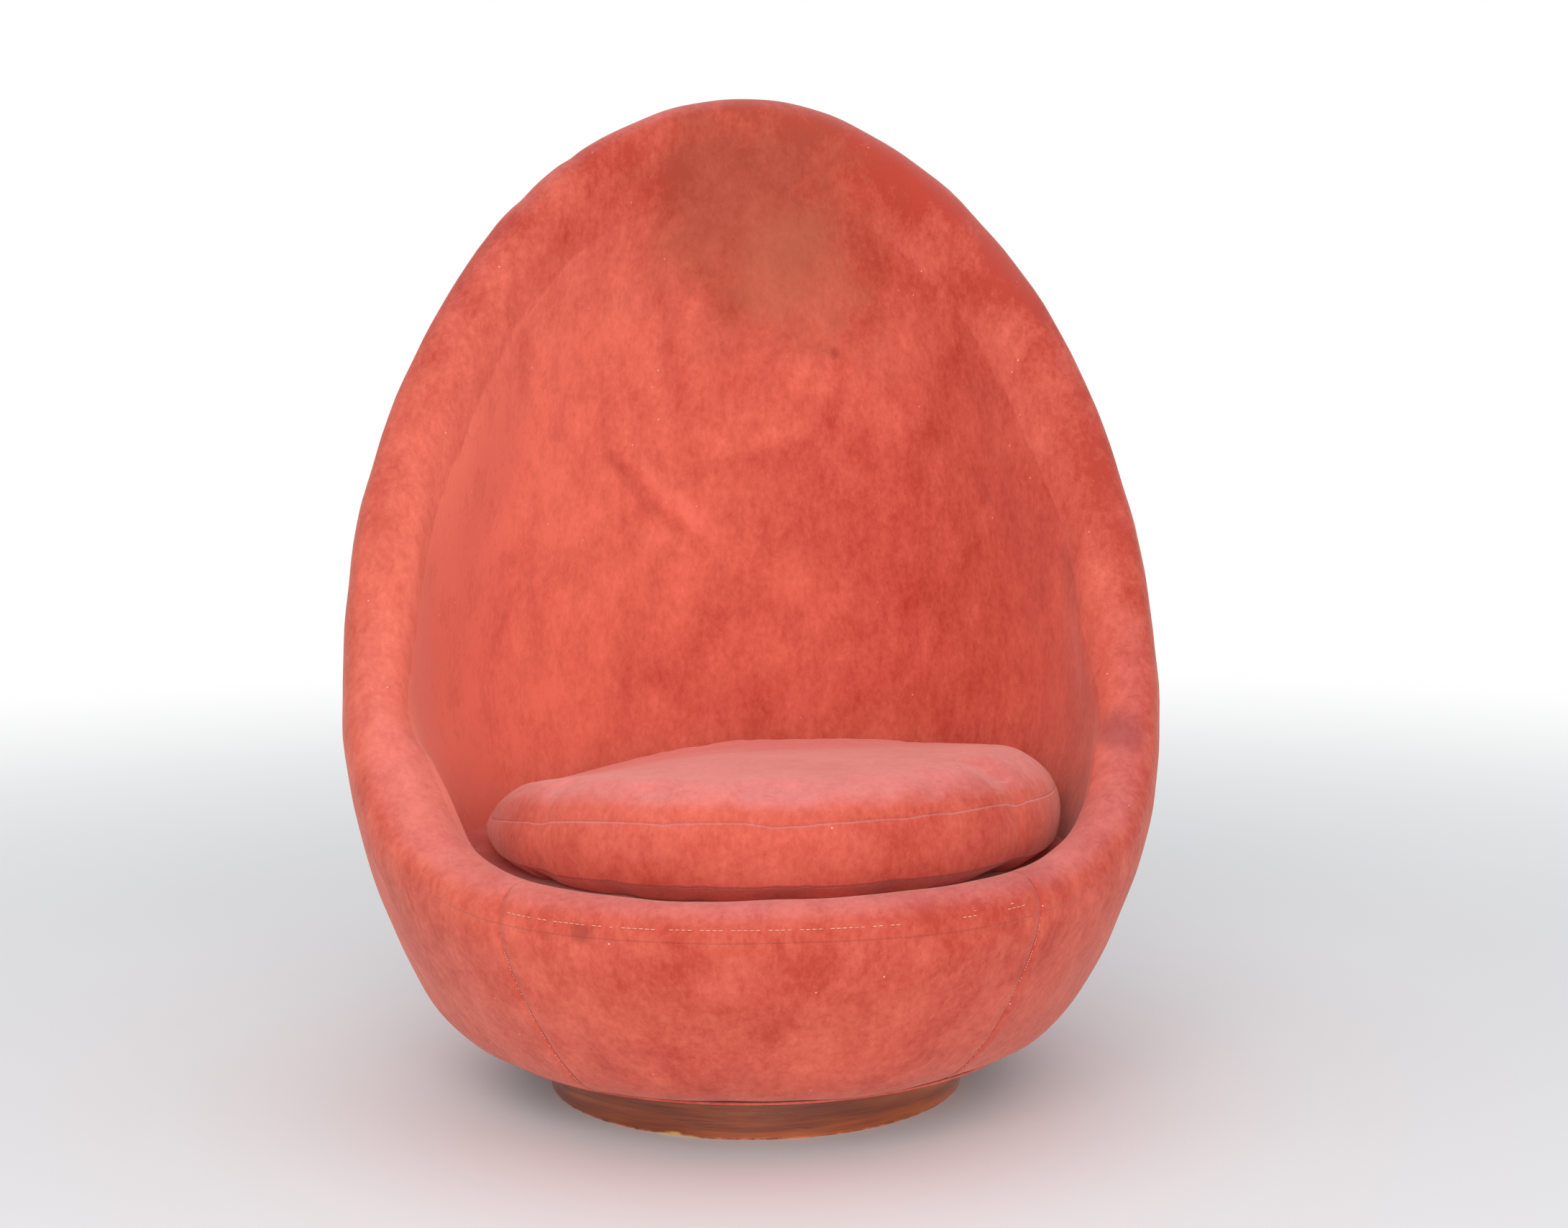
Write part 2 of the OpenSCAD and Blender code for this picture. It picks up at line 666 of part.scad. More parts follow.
function bottom_ring(share, e) = [for (a = [0:turn_step:359])
    let (p = cushion_mid + (cushion_outline(a, e) - cushion_mid) * share)
    [p.x, p.y, mix(cushion_bottom_h, lower_seam_h, pow(share, 8)) + e]];

// A point of the boxing: u runs from the lower seam to the upper one, between which it swells
function boxing_point(a, u, e) = let (p = cushion_outline(a, e - boxing_swell * 4 * u * (1 - u)))
    [p.x, p.y, mix(lower_seam_h, upper_seam_at(a), u)];
function boxing_ring(u, e) = [for (a = [0:turn_step:359]) boxing_point(a, u, e)];

top_shares = [1, 0.9, 0.7, 0.4];
bottom_shares = [0.55, 0.88, 1];
seam_allow = 2.4;               // how far the boxing's edges stay from the seams
core_inset = cushion_cover_t + gap;

function top_rings(e) = [for (s = top_shares) top_ring(s, e)];
function bottom_rings(e) = [for (s = bottom_shares) bottom_ring(s, e)];
function at_mid(h) = [cushion_mid.x, cushion_mid.y, h];

module cushion_foam() {
    color(foam) cushion_form(at_mid(cushion_bottom_h + core_inset),
        [each bottom_rings(core_inset), boxing_ring(0.3, core_inset), boxing_ring(0.7, core_inset),
         each top_rings(core_inset)],
        at_mid(crown_h - core_inset));
}

module cushion_top_panel() {
    color(velvet) cushion_form(at_mid(crown_h - cushion_cover_t),
        [each backwards(top_rings(cushion_cover_t)), each top_rings(0)], at_mid(crown_h),
        0, len(top_shares) - 1);
}

module cushion_bottom_panel() {
    color(velvet) cushion_form(at_mid(cushion_bottom_h),
        [each bottom_rings(0), each backwards(bottom_rings(cushion_cover_t))],
        at_mid(cushion_bottom_h + cushion_cover_t), len(bottom_shares), 2 * len(bottom_shares));
}

function boxing_rows(a) =
    let (edge = seam_allow / (upper_seam_at(a) - lower_seam_h)) [edge, 0.3, 0.7, 1 - edge];

module cushion_boxing() {
    color(velvet) loft([for (a = [0:turn_step:359]) let (rows = boxing_rows(a))
        [each [for (u = rows) boxing_point(a, u, 0)],
         each [for (u = backwards(rows)) boxing_point(a, u, cushion_cover_t)]]], ring = true);
}

// Zip in the back of the boxing

zip_span = [153, 207];
zip_tape_t = 0.8;
slider_share = 0.2;             // share of the tape's last facet that the slider takes
slider_t = 2.2;
zip_share = zip_w / (boxing_h - back_slump) / 2;

// A section of the boxing's outside at azimuth a, a share up and down, from depth e0 out to depth e1
function patch_section(a, share, e0, e1) =
    [boxing_point(a, 0.5 - share, e1), boxing_point(a, 0.5 + share, e1),
     boxing_point(a, 0.5 + share, e0), boxing_point(a, 0.5 - share, e0)];

module cushion_zip_tape() {
    color(velvet_dark) loft([for (a = [zip_span[0]:turn_step:zip_span[1]])
        patch_section(a, zip_share, -gap, -gap - zip_tape_t)]);
}

module cushion_zip_slider() {
    inner = -2 * gap - zip_tape_t;
    end = patch_section(zip_span[1], zip_share / 3, inner, inner - slider_t);
    start = patch_section(zip_span[1] - turn_step, zip_share / 3, inner, inner - slider_t);
    color(steel) loft([mix(end, start, slider_share), end]);
}

plinth_hoop();
plinth_top_board();
plinth_glue_blocks();
plinth_block_screws();
swivel_lower_plate();
swivel_lower_screws();
swivel_balls();
swivel_ball_cage();
swivel_upper_plate();
swivel_upper_bolts();
swivel_tee_nuts();
king_pin();
king_pin_washer();
king_pin_clip();
base_board();
cover_hem();
dust_cover();
rib_foot_blocks();
frame_ribs();
rim_hoop();
seat_ring();
seat_straps_long();
seat_straps_cross();
back_straps();
outside_backing();
outside_padding();
inside_foam();
deck_pad();
deck_cloth();
outside_cover();
inside_cover();
front_panel();
front_lip();
cushion_foam();
cushion_top_panel();
cushion_boxing();
cushion_bottom_panel();
cushion_zip_tape();
cushion_zip_slider();
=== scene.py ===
"""The finished surfaces of a swivel egg chair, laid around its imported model.

Lengths are in metres, in the model's own frame: the origin is on the floor on the swivel's axis, the seat
faces -Y and +Z is up. Azimuths are in degrees, 0 at the front and growing towards +X.
"""

import json
import logging
import math
from dataclasses import dataclass, field
from enum import Enum
from typing import Any

import bpy
import numpy as np
from mathutils import Euler, Matrix, Vector


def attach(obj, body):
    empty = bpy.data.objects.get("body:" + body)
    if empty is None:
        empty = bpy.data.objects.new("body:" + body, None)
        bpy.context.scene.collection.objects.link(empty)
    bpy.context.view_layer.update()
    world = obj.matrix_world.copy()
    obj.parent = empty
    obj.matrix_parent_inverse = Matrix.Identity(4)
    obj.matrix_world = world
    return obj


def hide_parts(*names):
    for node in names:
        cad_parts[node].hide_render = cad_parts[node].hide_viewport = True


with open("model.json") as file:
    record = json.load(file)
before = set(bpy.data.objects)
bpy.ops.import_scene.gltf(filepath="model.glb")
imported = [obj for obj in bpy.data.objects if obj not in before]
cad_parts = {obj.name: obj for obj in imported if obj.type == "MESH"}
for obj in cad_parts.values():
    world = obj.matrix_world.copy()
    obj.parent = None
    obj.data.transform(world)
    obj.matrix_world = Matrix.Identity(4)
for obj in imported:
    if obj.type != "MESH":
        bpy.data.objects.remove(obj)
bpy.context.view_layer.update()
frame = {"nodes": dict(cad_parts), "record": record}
log = logging.getLogger("egg_chair")

Array = np.ndarray
Pair = tuple[float, float]
Three = tuple[float, float, float]
Four = tuple[float, float, float, float]
Colour = Three
Material = bpy.types.Material
Piece = bpy.types.Object
Socket = bpy.types.NodeSocket
Sockets = bpy.types.bpy_prop_collection


class Body(Enum):
    """The rigid bodies that pieces ride on."""

    BASE = "base"
    SEAT = "seat"
    CUSHION = "cushion"


class Slot(Enum):
    """The record's material slots."""

    WALNUT = "walnut"
    PLYWOOD = "plywood"
    ZINC = "zinc_steel"
    POLISHED = "polished_steel"
    LINING = "black_cloth"
    WEBBING = "webbing"
    BOARD = "board"
    PADDING = "padding"
    VELVET = "velvet"
    BRASS = "zip_brass"


def srgb(red: int, green: int, blue: int) -> Colour:
    """Linear colour of an 8-bit display colour."""
    share = np.array([red, green, blue]) / 255
    return tuple(np.where(share <= 0.04045, share / 12.92, ((share + 0.055) / 1.055) ** 2.4).tolist())


def unit(vectors: Array) -> Array:
    """Vectors scaled to length one."""
    return vectors / np.linalg.norm(vectors, axis=-1, keepdims=True)


def bell(distance: Array, width: float) -> Array:
    """A smooth bump of height one that has fallen to 1/e at the width."""
    return np.exp(-((distance / width) ** 2))


def eased(value: Array, low: float, high: float) -> Array:
    """A smooth step from 0 at the low value to 1 at the high one."""
    share = np.clip((value - low) / (high - low), 0, 1)
    return share * share * (3 - 2 * share)


def signed(azimuth: Array) -> Array:
    """Azimuths from -180 to 180 degrees."""
    return (azimuth + 180) % 360 - 180


def cubic(share: Array, start: Array, leave: Array, meet: Array, end: Array) -> Array:
    """A cubic curve from its start to its end, drawn towards two points between."""
    rest = 1 - share
    return rest ** 3 * start + 3 * rest ** 2 * share * leave + 3 * rest * share ** 2 * meet + share ** 3 * end


def graded(points: list[float], counts: list[int]) -> Array:
    """Stations from the first point to the last, with its own count of even steps in each stretch.

    Args:
        points: the ends of the stretches.
        counts: the steps in each stretch.

    Returns:
        The stations, the shared ends once.
    """
    parts = [np.linspace(a, b, n, endpoint=False) for a, b, n in zip(points, points[1:], counts)]
    return np.concatenate([*parts, points[-1:]])


# Meshes


@dataclass
class MeshData:
    """Points and faces on their way to a mesh, with values at the points that a material may read."""

    points: Array
    faces: list[Array]
    values: dict[str, Array] = field(default_factory=dict)

    def piece(self, name: str, body: Body, slot: Slot, finish: Material,
              replaces: tuple[str, ...] = ()) -> Piece:
        """Makes the object, dresses it and lets it ride on its body.

        Args:
            name: the piece's name.
            body: the body that it rides on.
            slot: the record's slot of its finish; not used.
            finish: its material.
            replaces: the model's nodes that it stands for.

        Returns:
            The new object.
        """
        mesh = bpy.data.meshes.new(name)
        ordered = sorted(self.faces, key=lambda faces: -faces.shape[-1])
        loops = np.concatenate([faces.ravel() for faces in ordered]).astype(np.int32)
        totals = np.concatenate([np.full(faces[..., 0].size, faces.shape[-1]) for faces in ordered])
        starts = np.concatenate([[0], np.cumsum(totals)[:-1]])
        mesh.vertices.add(len(self.points))
        mesh.vertices.foreach_set("co", self.points.astype(np.float32).ravel())
        mesh.loops.add(len(loops))
        mesh.loops.foreach_set("vertex_index", loops)
        mesh.polygons.add(len(totals))
        mesh.polygons.foreach_set("loop_start", starts.astype(np.int32))
        mesh.polygons.foreach_set("loop_total", totals.astype(np.int32))
        mesh.polygons.foreach_set("use_smooth", np.full(len(totals), True))
        for key, value in self.values.items():
            stored = mesh.attributes.new(key, "FLOAT", "POINT").data
            stored.foreach_set("value", value.astype(np.float32).ravel())
        mesh.update(calc_edges=True)
        mesh.validate()
        mesh.materials.append(finish)
        made = bpy.data.objects.new(name, mesh)
        bpy.context.scene.collection.objects.link(made)
        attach(made, body.value)
        if replaces:
            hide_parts(*replaces)
        return made

    def even(self, **values: float) -> "MeshData":
        """Gives every point the same values."""
        self.values = {key: np.full(len(self.points), value) for key, value in values.items()}
        return self


def closed_shell(outer: Array, inner: Array, ring: bool = False,
                 values: dict[str, Array] | None = None) -> MeshData:
    """A closed shell between two grids of as many points.

    The outer grid's faces look along the cross product of its first direction with its second, the inner
    grid's look the other way, and strips join their borders.

    Args:
        outer: points of shape (n, m, 3).
        inner: points of the same shape behind them.
        ring: whether the first direction runs round and closes.
        values: named values of shape (n, m), given to both faces.

    Returns:
        The shell's points and faces.
    """
    n, m = outer.shape[:2]
    index = np.arange(n * m).reshape(n, m)
    if ring:
        index = np.concatenate([index, index[:1]])
    a, b, c, d = index[:-1, :-1], index[1:, :-1], index[1:, 1:], index[:-1, 1:]
    back = n * m
    faces = [np.stack([a, b, c, d], -1), np.stack([a, d, c, b], -1) + back]
    first, last = index[:, 0], index[:, -1]
    faces.append(np.stack([first[1:], first[:-1], first[:-1] + back, first[1:] + back], -1))
    faces.append(np.stack([last[:-1], last[1:], last[1:] + back, last[:-1] + back], -1))
    if not ring:
        left, right = index[0], index[-1]
        faces.append(np.stack([left[:-1], left[1:], left[1:] + back, left[:-1] + back], -1))
        faces.append(np.stack([right[1:], right[:-1], right[:-1] + back, right[1:] + back], -1))
    both = {k: np.concatenate([v.ravel(), v.ravel()]) for k, v in (values or {}).items()}
    return MeshData(np.concatenate([outer.reshape(-1, 3), inner.reshape(-1, 3)]), faces, both)


def turned(profile: Array, count: int) -> MeshData:
    """A closed profile of radii and heights carried round the vertical axis.

    Args:
        profile: shape (m, 2) or (count, m, 2), up the outside and back down the inside.
        count: the steps of a full turn.

    Returns:
        The solid, its first azimuth at the front.
    """
    angle = np.linspace(0, 2 * np.pi, count, endpoint=False)[:, None]
    profile = np.broadcast_to(profile, (count, *profile.shape[-2:]))
    radius, height = profile[..., 0], profile[..., 1]
    points = np.stack([np.sin(angle) * radius, -np.cos(angle) * radius, height], -1)
    index = np.arange(points.shape[0] * points.shape[1]).reshape(points.shape[:2])
    after = np.roll(index, -1, 0)
    faces = np.stack([index, after, np.roll(after, -1, 1), np.roll(index, -1, 1)], -1)
    return MeshData(points.reshape(-1, 3), [faces])


def eased_corners(corners: list[Pair], ease: float) -> Array:
    """A closed profile with its corners rounded by quadratic curves.

    Args:
        corners: radius and height of each corner, anticlockwise.
        ease: how far along each side a curve of four steps reaches.

    Returns:
        Points of shape (m, 2).
    """
    c = np.array(corners)
    before, after = unit(np.roll(c, 1, 0) - c) * ease + c, unit(np.roll(c, -1, 0) - c) * ease + c
    t = np.linspace(0, 1, 5)[None, :, None]
    curve = (1 - t) ** 2 * before[:, None] + 2 * t * (1 - t) * c[:, None] + t ** 2 * after[:, None]
    return curve.reshape(-1, 2)


def capped(rings: Array) -> MeshData:
    """A closed solid through rings of points from the bottom's middle, round the edge, to the top's middle.

    Args:
        rings: shape (k, n, 3), each ring anticlockwise from above.

    Returns:
        The solid, its two ends drawn to points.
    """
    k, n = rings.shape[:2]
    index = np.arange(k * n).reshape(k, n)
    after = np.roll(index, -1, 1)
    quads = np.stack([index[:-1], after[:-1], after[1:], index[1:]], -1)
    ends = np.stack([rings[0].mean(0), rings[-1].mean(0)])
    low = np.stack([after[0], index[0], np.full(n, k * n)], -1)
    high = np.stack([index[-1], after[-1], np.full(n, k * n + 1)], -1)
    return MeshData(np.concatenate([rings.reshape(-1, 3), ends]), [quads, low, high])


def bar(centre: Array, along: Array, out: Array, half: Three) -> MeshData:
    """A short bar of rounded section: a squarish ellipse that narrows to half at both ends by a fourth power.

    Args:
        centre: the bar's middle.
        along: the unit direction of its length.
        out: the unit direction of its thickness.
        half: half of its length, thickness and width.

    Returns:
        The bar.
    """
    length, thick, wide = half
    turns = np.linspace(0, 2 * np.pi, 16, endpoint=False)
    rounded = [np.sign(v) * np.sqrt(np.abs(v)) for v in (np.cos(turns), np.sin(turns))]
    share = np.array([-1.0, -0.94, -0.8, -0.4, 0.4, 0.8, 0.94, 1.0])[:, None, None]
    ring = thick * rounded[0][:, None] * out + wide * rounded[1][:, None] * np.cross(along, out)
    return capped(centre + length * share * along + (1 - 0.5 * share ** 4) * ring)


def vertex_normals(points: Array, quads: Array) -> Array:
    """Unit normals at points, each along the sum of its quads' cross products of diagonals.

    Args:
        points: shape (n, 3).
        quads: the faces' corners.

    Returns:
        One normal for each point.
    """
    p = points[quads]
    area = np.cross(p[:, 2] - p[:, 0], p[:, 3] - p[:, 1])
    total = np.zeros_like(points)
    for corner in range(4):
        np.add.at(total, quads[:, corner], area)
    return unit(total)


# Node trees


class Graph:
    """A node tree with short calls that add nodes and join them."""

    def __init__(self, tree: bpy.types.NodeTree) -> None:
        """Starts with an empty tree."""
        self.tree = tree
        tree.nodes.clear()

    def put(self, socket: Socket, value: Any) -> None:
        """Joins a socket to another node's output, or sets its own value.

        Args:
            socket: the socket.
            value: an output, a number, or a colour or vector, to which a missing last number is added.
        """
        if isinstance(value, Socket):
            self.tree.links.new(value, socket)
        elif hasattr(socket.default_value, "__len__"):
            wanted = len(socket.default_value)
            given = list(value) if hasattr(value, "__len__") else [value] * wanted
            socket.default_value = given + [1.0] * (wanted - len(given))
        else:
            socket.default_value = value

    def fill(self, sockets: Sockets, values: dict[str | int, Any]) -> None:
        """Joins or sets several sockets by name or place."""
        for key, value in values.items():
            self.put(sockets[key], value)

    def node(self, kind: str, values: dict[str | int, Any] | None = None, **settings: Any) -> bpy.types.Node:
        """Adds a shader node.

        Args:
            kind: its type without the leading words.
            values: its inputs by name or place, each a value or an output.
            settings: its properties.

        Returns:
            The node.
        """
        made = self.tree.nodes.new("ShaderNode" + kind)
        for key, value in settings.items():
            setattr(made, key, value)
        self.fill(made.inputs, values or {})
        return made

    def math(self, operation: str, *values: Any, clamp: bool = False) -> Socket:
        """A Math node's result."""
        return self.node("Math", dict(enumerate(values)), operation=operation, use_clamp=clamp).outputs[0]

    def times(self, first: Any, second: Any) -> Socket:
        """The product of two values."""
        return self.math("MULTIPLY", first, second)

    def vector(self, operation: str, *values: Any) -> Socket:
        """A Vector Math node's vector."""
        return self.node("VectorMath", dict(enumerate(values)), operation=operation).outputs[0]

    def swing(self, value: Any, amount: Any) -> Socket:
        """How far a value is from one half, times an amount."""
        return self.times(self.math("SUBTRACT", value, 0.5), amount)

    def parts(self, vector: Any) -> Sockets:
        """A vector's three numbers."""
        return self.node("SeparateXYZ", {0: vector}).outputs

    def joined(self, *values: Any) -> Socket:
        """The vector of three numbers."""
        return self.node("CombineXYZ", dict(enumerate(values))).outputs[0]

    def length(self, vector: Any) -> Socket:
        """A vector's length."""
        return self.node("VectorMath", {0: vector}, operation="LENGTH").outputs["Value"]

    def facing_up(self) -> Socket:
        """The upward part of the surface's direction."""
        return self.parts(self.node("NewGeometry").outputs["Normal"])[2]

    def mix(self, share: Any, first: Any, second: Any) -> Socket:
        """Two colours mixed by a share."""
        return self.node("Mix", {0: share, 6: first, 7: second}, data_type="RGBA").outputs[2]

    def spread(self, value: Any, low: float, high: float, to_low: float = 0.0,
               to_high: float = 1.0) -> Socket:
        """A value eased from one range onto another."""
        return self.node("MapRange", {0: value, 1: low, 2: high, 3: to_low, 4: to_high},
                         interpolation_type="SMOOTHSTEP").outputs[0]

    def noise(self, vector: Any, scale: Any, detail: float, roughness: float) -> Socket:
        """A Noise Texture's value."""
        values = {"Vector": vector, "Scale": scale, "Detail": detail, "Roughness": roughness}
        return self.node("TexNoise", values).outputs[0]

    def stretched(self, vector: Any, scale: Three) -> Socket:
        """Coordinates scaled along each axis."""
        return self.vector("MULTIPLY", vector, scale)

    def object_place(self) -> Socket:
        """The piece's own coordinates."""
        return self.node("TexCoord").outputs["Object"]

    def seen(self) -> Socket:
        """Whether the plain white background is shown to a ray.

        Returns:
            One for rays from the camera, from reflections and through glass.
        """
        path = self.node("LightPath").outputs
        mirrored = self.math("MAXIMUM", path["Is Glossy Ray"], path["Is Transmission Ray"])
        return self.math("MAXIMUM", path["Is Camera Ray"], mirrored)

    def stored(self, name: str) -> Socket:
        """A value stored at the mesh's points."""
        return self.node("Attribute", attribute_name=name, attribute_type="GEOMETRY").outputs["Fac"]

    def bump(self, height: Any, distance: float, strength: float, normal: Any = None) -> Socket:
        """A Bump node's normal.

        Args:
            height: the relief, from 0 to 1.
            distance: its depth in metres.
            strength: the share of it that shows.
            normal: the normal of a coarser relief under it.

        Returns:
            The normal.
        """
        values = {"Strength": strength, "Distance": distance, "Height": height}
        if normal is not None:
            values["Normal"] = normal
        return self.node("Bump", values).outputs[0]


class Effect:
    """A node group with named sockets that several finishes place with their own values."""

    def __init__(self, name: str, inputs: dict[str, Any], outputs: tuple[str, ...]) -> None:
        """Makes the group's sockets and leaves its inside to be built.

        Args:
            name: the group's name.
            inputs: each input's default, a number or a vector; an input Vector comes before them.
            outputs: the names of the outputs, all numbers.
        """
        self.tree = bpy.data.node_groups.new(name, "ShaderNodeTree")
        new = self.tree.interface.new_socket
        new("Vector", in_out="INPUT", socket_type="NodeSocketVector")
        for key, default in inputs.items():
            kind = "Float" if isinstance(default, float) else "Vector"
            new(key, in_out="INPUT", socket_type="NodeSocket" + kind).default_value = default
        for key in outputs:
            new(key, in_out="OUTPUT", socket_type="NodeSocketFloat")
        self.graph = Graph(self.tree)
        self.given = self.tree.nodes.new("NodeGroupInput").outputs
        self.result = self.tree.nodes.new("NodeGroupOutput").inputs

    def give(self, **results: Any) -> "Effect":
        """Joins values to the group's outputs.

        Args:
            results: the outputs' values by name.

        Returns:
            The effect itself.
        """
        self.graph.fill(self.result, results)
        return self

    def place(self, graph: Graph, **values: Any) -> Sockets:
        """Puts the group into a material.

        Args:
            graph: the material's tree.
            values: the group's inputs by name.

        Returns:
            The placed group's outputs.
        """
        return graph.node("Group", values, node_tree=self.tree).outputs


def nap_effect() -> Effect:
    """Pile that lies one way here and another there: broad patches, clouds, upright streaks and flecks.

    The tone is the sum of four noises in coordinates that a slow noise bends, each about its middle and
    times its amount. The pile is a fine noise with the flecks on it.

    Returns:
        The effect, with the outputs Tone and Pile.
    """
    made = Effect("brushed nap", {"Patch": 5.0, "Cloud": 0.8, "Streak": 0.5, "Fleck": 0.4}, ("Tone", "Pile"))
    g, given, place = made.graph, made.given, made.given["Vector"]
    slow = g.node("TexNoise", {"Vector": place, "Scale": 6.0, "Detail": 2.0}).outputs["Color"]
    warp = g.vector("MULTIPLY_ADD", slow, (0.05, 0.05, 0.05), place)
    broad = g.noise(warp, given["Patch"], 3.0, 0.55)
    clouds = g.noise(g.stretched(warp, (1.0, 1.0, 0.7)), 24.0, 3.0, 0.5)
    upright = g.noise(g.stretched(warp, (1.0, 1.0, 0.42)), 62.0, 4.0, 0.6)
    flecks = g.noise(g.stretched(place, (1.0, 1.0, 0.65)), 150.0, 5.0, 0.75)
    tone = g.spread(broad, 0.3, 0.7, 0.36, 0.62)
    for layer, amount in ((clouds, "Cloud"), (upright, "Streak"), (flecks, "Fleck")):
        tone = g.math("ADD", tone, g.swing(layer, given[amount]))
    fine = g.noise(place, 900.0, 2.0, 0.6)
    pile = g.math("ADD", g.times(fine, 0.5), g.times(flecks, 0.8))
    return made.give(Tone=tone, Pile=pile)


def soil_effect() -> Effect:
    """A soft-edged, blotchy patch: it fades with the distance from its centre, which a noise makes uneven.

    Returns:
        The effect, with the output Mask.
    """
    made = Effect("soiled patch", {"Centre": (0.0, 0.0, 0.0), "Reach": (0.1, 0.1, 0.1), "Blotch": 0.5},
                  ("Mask",))
    g, given, place = made.graph, made.given, made.given["Vector"]
    away = g.vector("DIVIDE", g.vector("SUBTRACT", place, given["Centre"]), given["Reach"])
    blotches = g.noise(place, 14.0, 6.0, 0.65)
    ragged = g.math("ADD", g.length(away), g.swing(blotches, given["Blotch"]))
    return made.give(Mask=g.spread(ragged, 1.15, 0.25))


def grain_effect() -> Effect:
    """Wood's growth lines and pores along the first coordinate, with slow waves in them.

    Returns:
        The effect, with the outputs Tone and Pores.
    """
    made = Effect("wood grain", {"Lines": 60.0, "Wave": 0.02}, ("Tone", "Pores"))
    g, given, place = made.graph, made.given, made.given["Vector"]
    waved = g.noise(g.stretched(place, (2.4, 9.0, 9.0)), 1.0, 3.0, 0.5)
    along, across, deep = g.parts(place)
    bent = g.math("ADD", across, g.times(waved, given["Wave"]))
    lines = g.joined(g.times(along, 0.05), bent, g.times(deep, 0.5))
    tone = g.noise(lines, given["Lines"], 6.0, 0.6)
    pores = g.noise(g.stretched(place, (20.0, 900.0, 900.0)), 1.0, 2.0, 0.5)
    return made.give(Tone=tone, Pores=g.spread(pores, 0.58, 0.74))


def weave_effect() -> Effect:
    """Threads that pass over and under each other: the product of two sine waves across each other.

    Returns:
        The effect, with the outputs Height and Tone.
    """
    made = Effect("plain weave", {"Threads": 1200.0}, ("Height", "Tone"))
    g, given, place = made.graph, made.given, made.given["Vector"]
    parts = g.parts(g.vector("MULTIPLY", place, given["Threads"]))
    warp = g.math("SINE", g.math("ADD", parts[0], parts[2]))
    weft = g.math("SINE", g.math("SUBTRACT", parts[1], parts[2]))
    height = g.math("MULTIPLY_ADD", g.times(warp, weft), 0.5, 0.5)
    return made.give(Height=height, Tone=g.noise(place, 40.0, 5.0, 0.6))


def dust_effect() -> Effect:
    """Dust that lies on what faces up, thicker in some places, and specks of lint anywhere.

    Returns:
        The effect, with the outputs Mask and Lint.
    """
    made = Effect("dust", {"Amount": 0.3}, ("Mask", "Lint"))
    g, given, place = made.graph, made.given, made.given["Vector"]
    clouds = g.noise(place, 9.0, 5.0, 0.6)
    cover = g.times(g.spread(g.facing_up(), 0.2, 1.0), g.spread(clouds, 0.3, 0.75))
    lint = g.node("TexVoronoi", {"Vector": place, "Scale": 34.0}).outputs["Distance"]
    return made.give(Mask=g.times(cover, given["Amount"]), Lint=g.spread(lint, 0.035, 0.02))


@dataclass
class Effects:
    """The effects that finishes share."""

    nap: Effect = field(default_factory=nap_effect)
    soil: Effect = field(default_factory=soil_effect)
    grain: Effect = field(default_factory=grain_effect)
    weave: Effect = field(default_factory=weave_effect)
    dust: Effect = field(default_factory=dust_effect)


# Finishes


@dataclass(frozen=True)
class Finish:
    """A surface's finish, which builds one material."""

    name: str

    def build(self, effects: Effects) -> Material:
        """Makes the material around a Principled shader.

        Args:
            effects: the effects that finishes share.

        Returns:
            The material.
        """
        material = bpy.data.materials.new(self.name)
        material.use_nodes = True
        graph = Graph(material.node_tree)
        shader = graph.node("BsdfPrincipled")
        graph.put(graph.node("OutputMaterial").inputs["Surface"], shader.outputs[0])
        self.dress(graph, shader.inputs, effects)
        return material

    def dress(self, g: Graph, sockets: Sockets, effects: Effects) -> None:
        """Joins the finish's nodes to the shader's sockets."""
        raise NotImplementedError


@dataclass(frozen=True)
class Patch:
    """A patch of another colour on the velvet: its centre, its reach, its colour and its strength."""

    centre: Three
    reach: Three
    colour: Colour
    strength: float
    blotch: float = 0.7


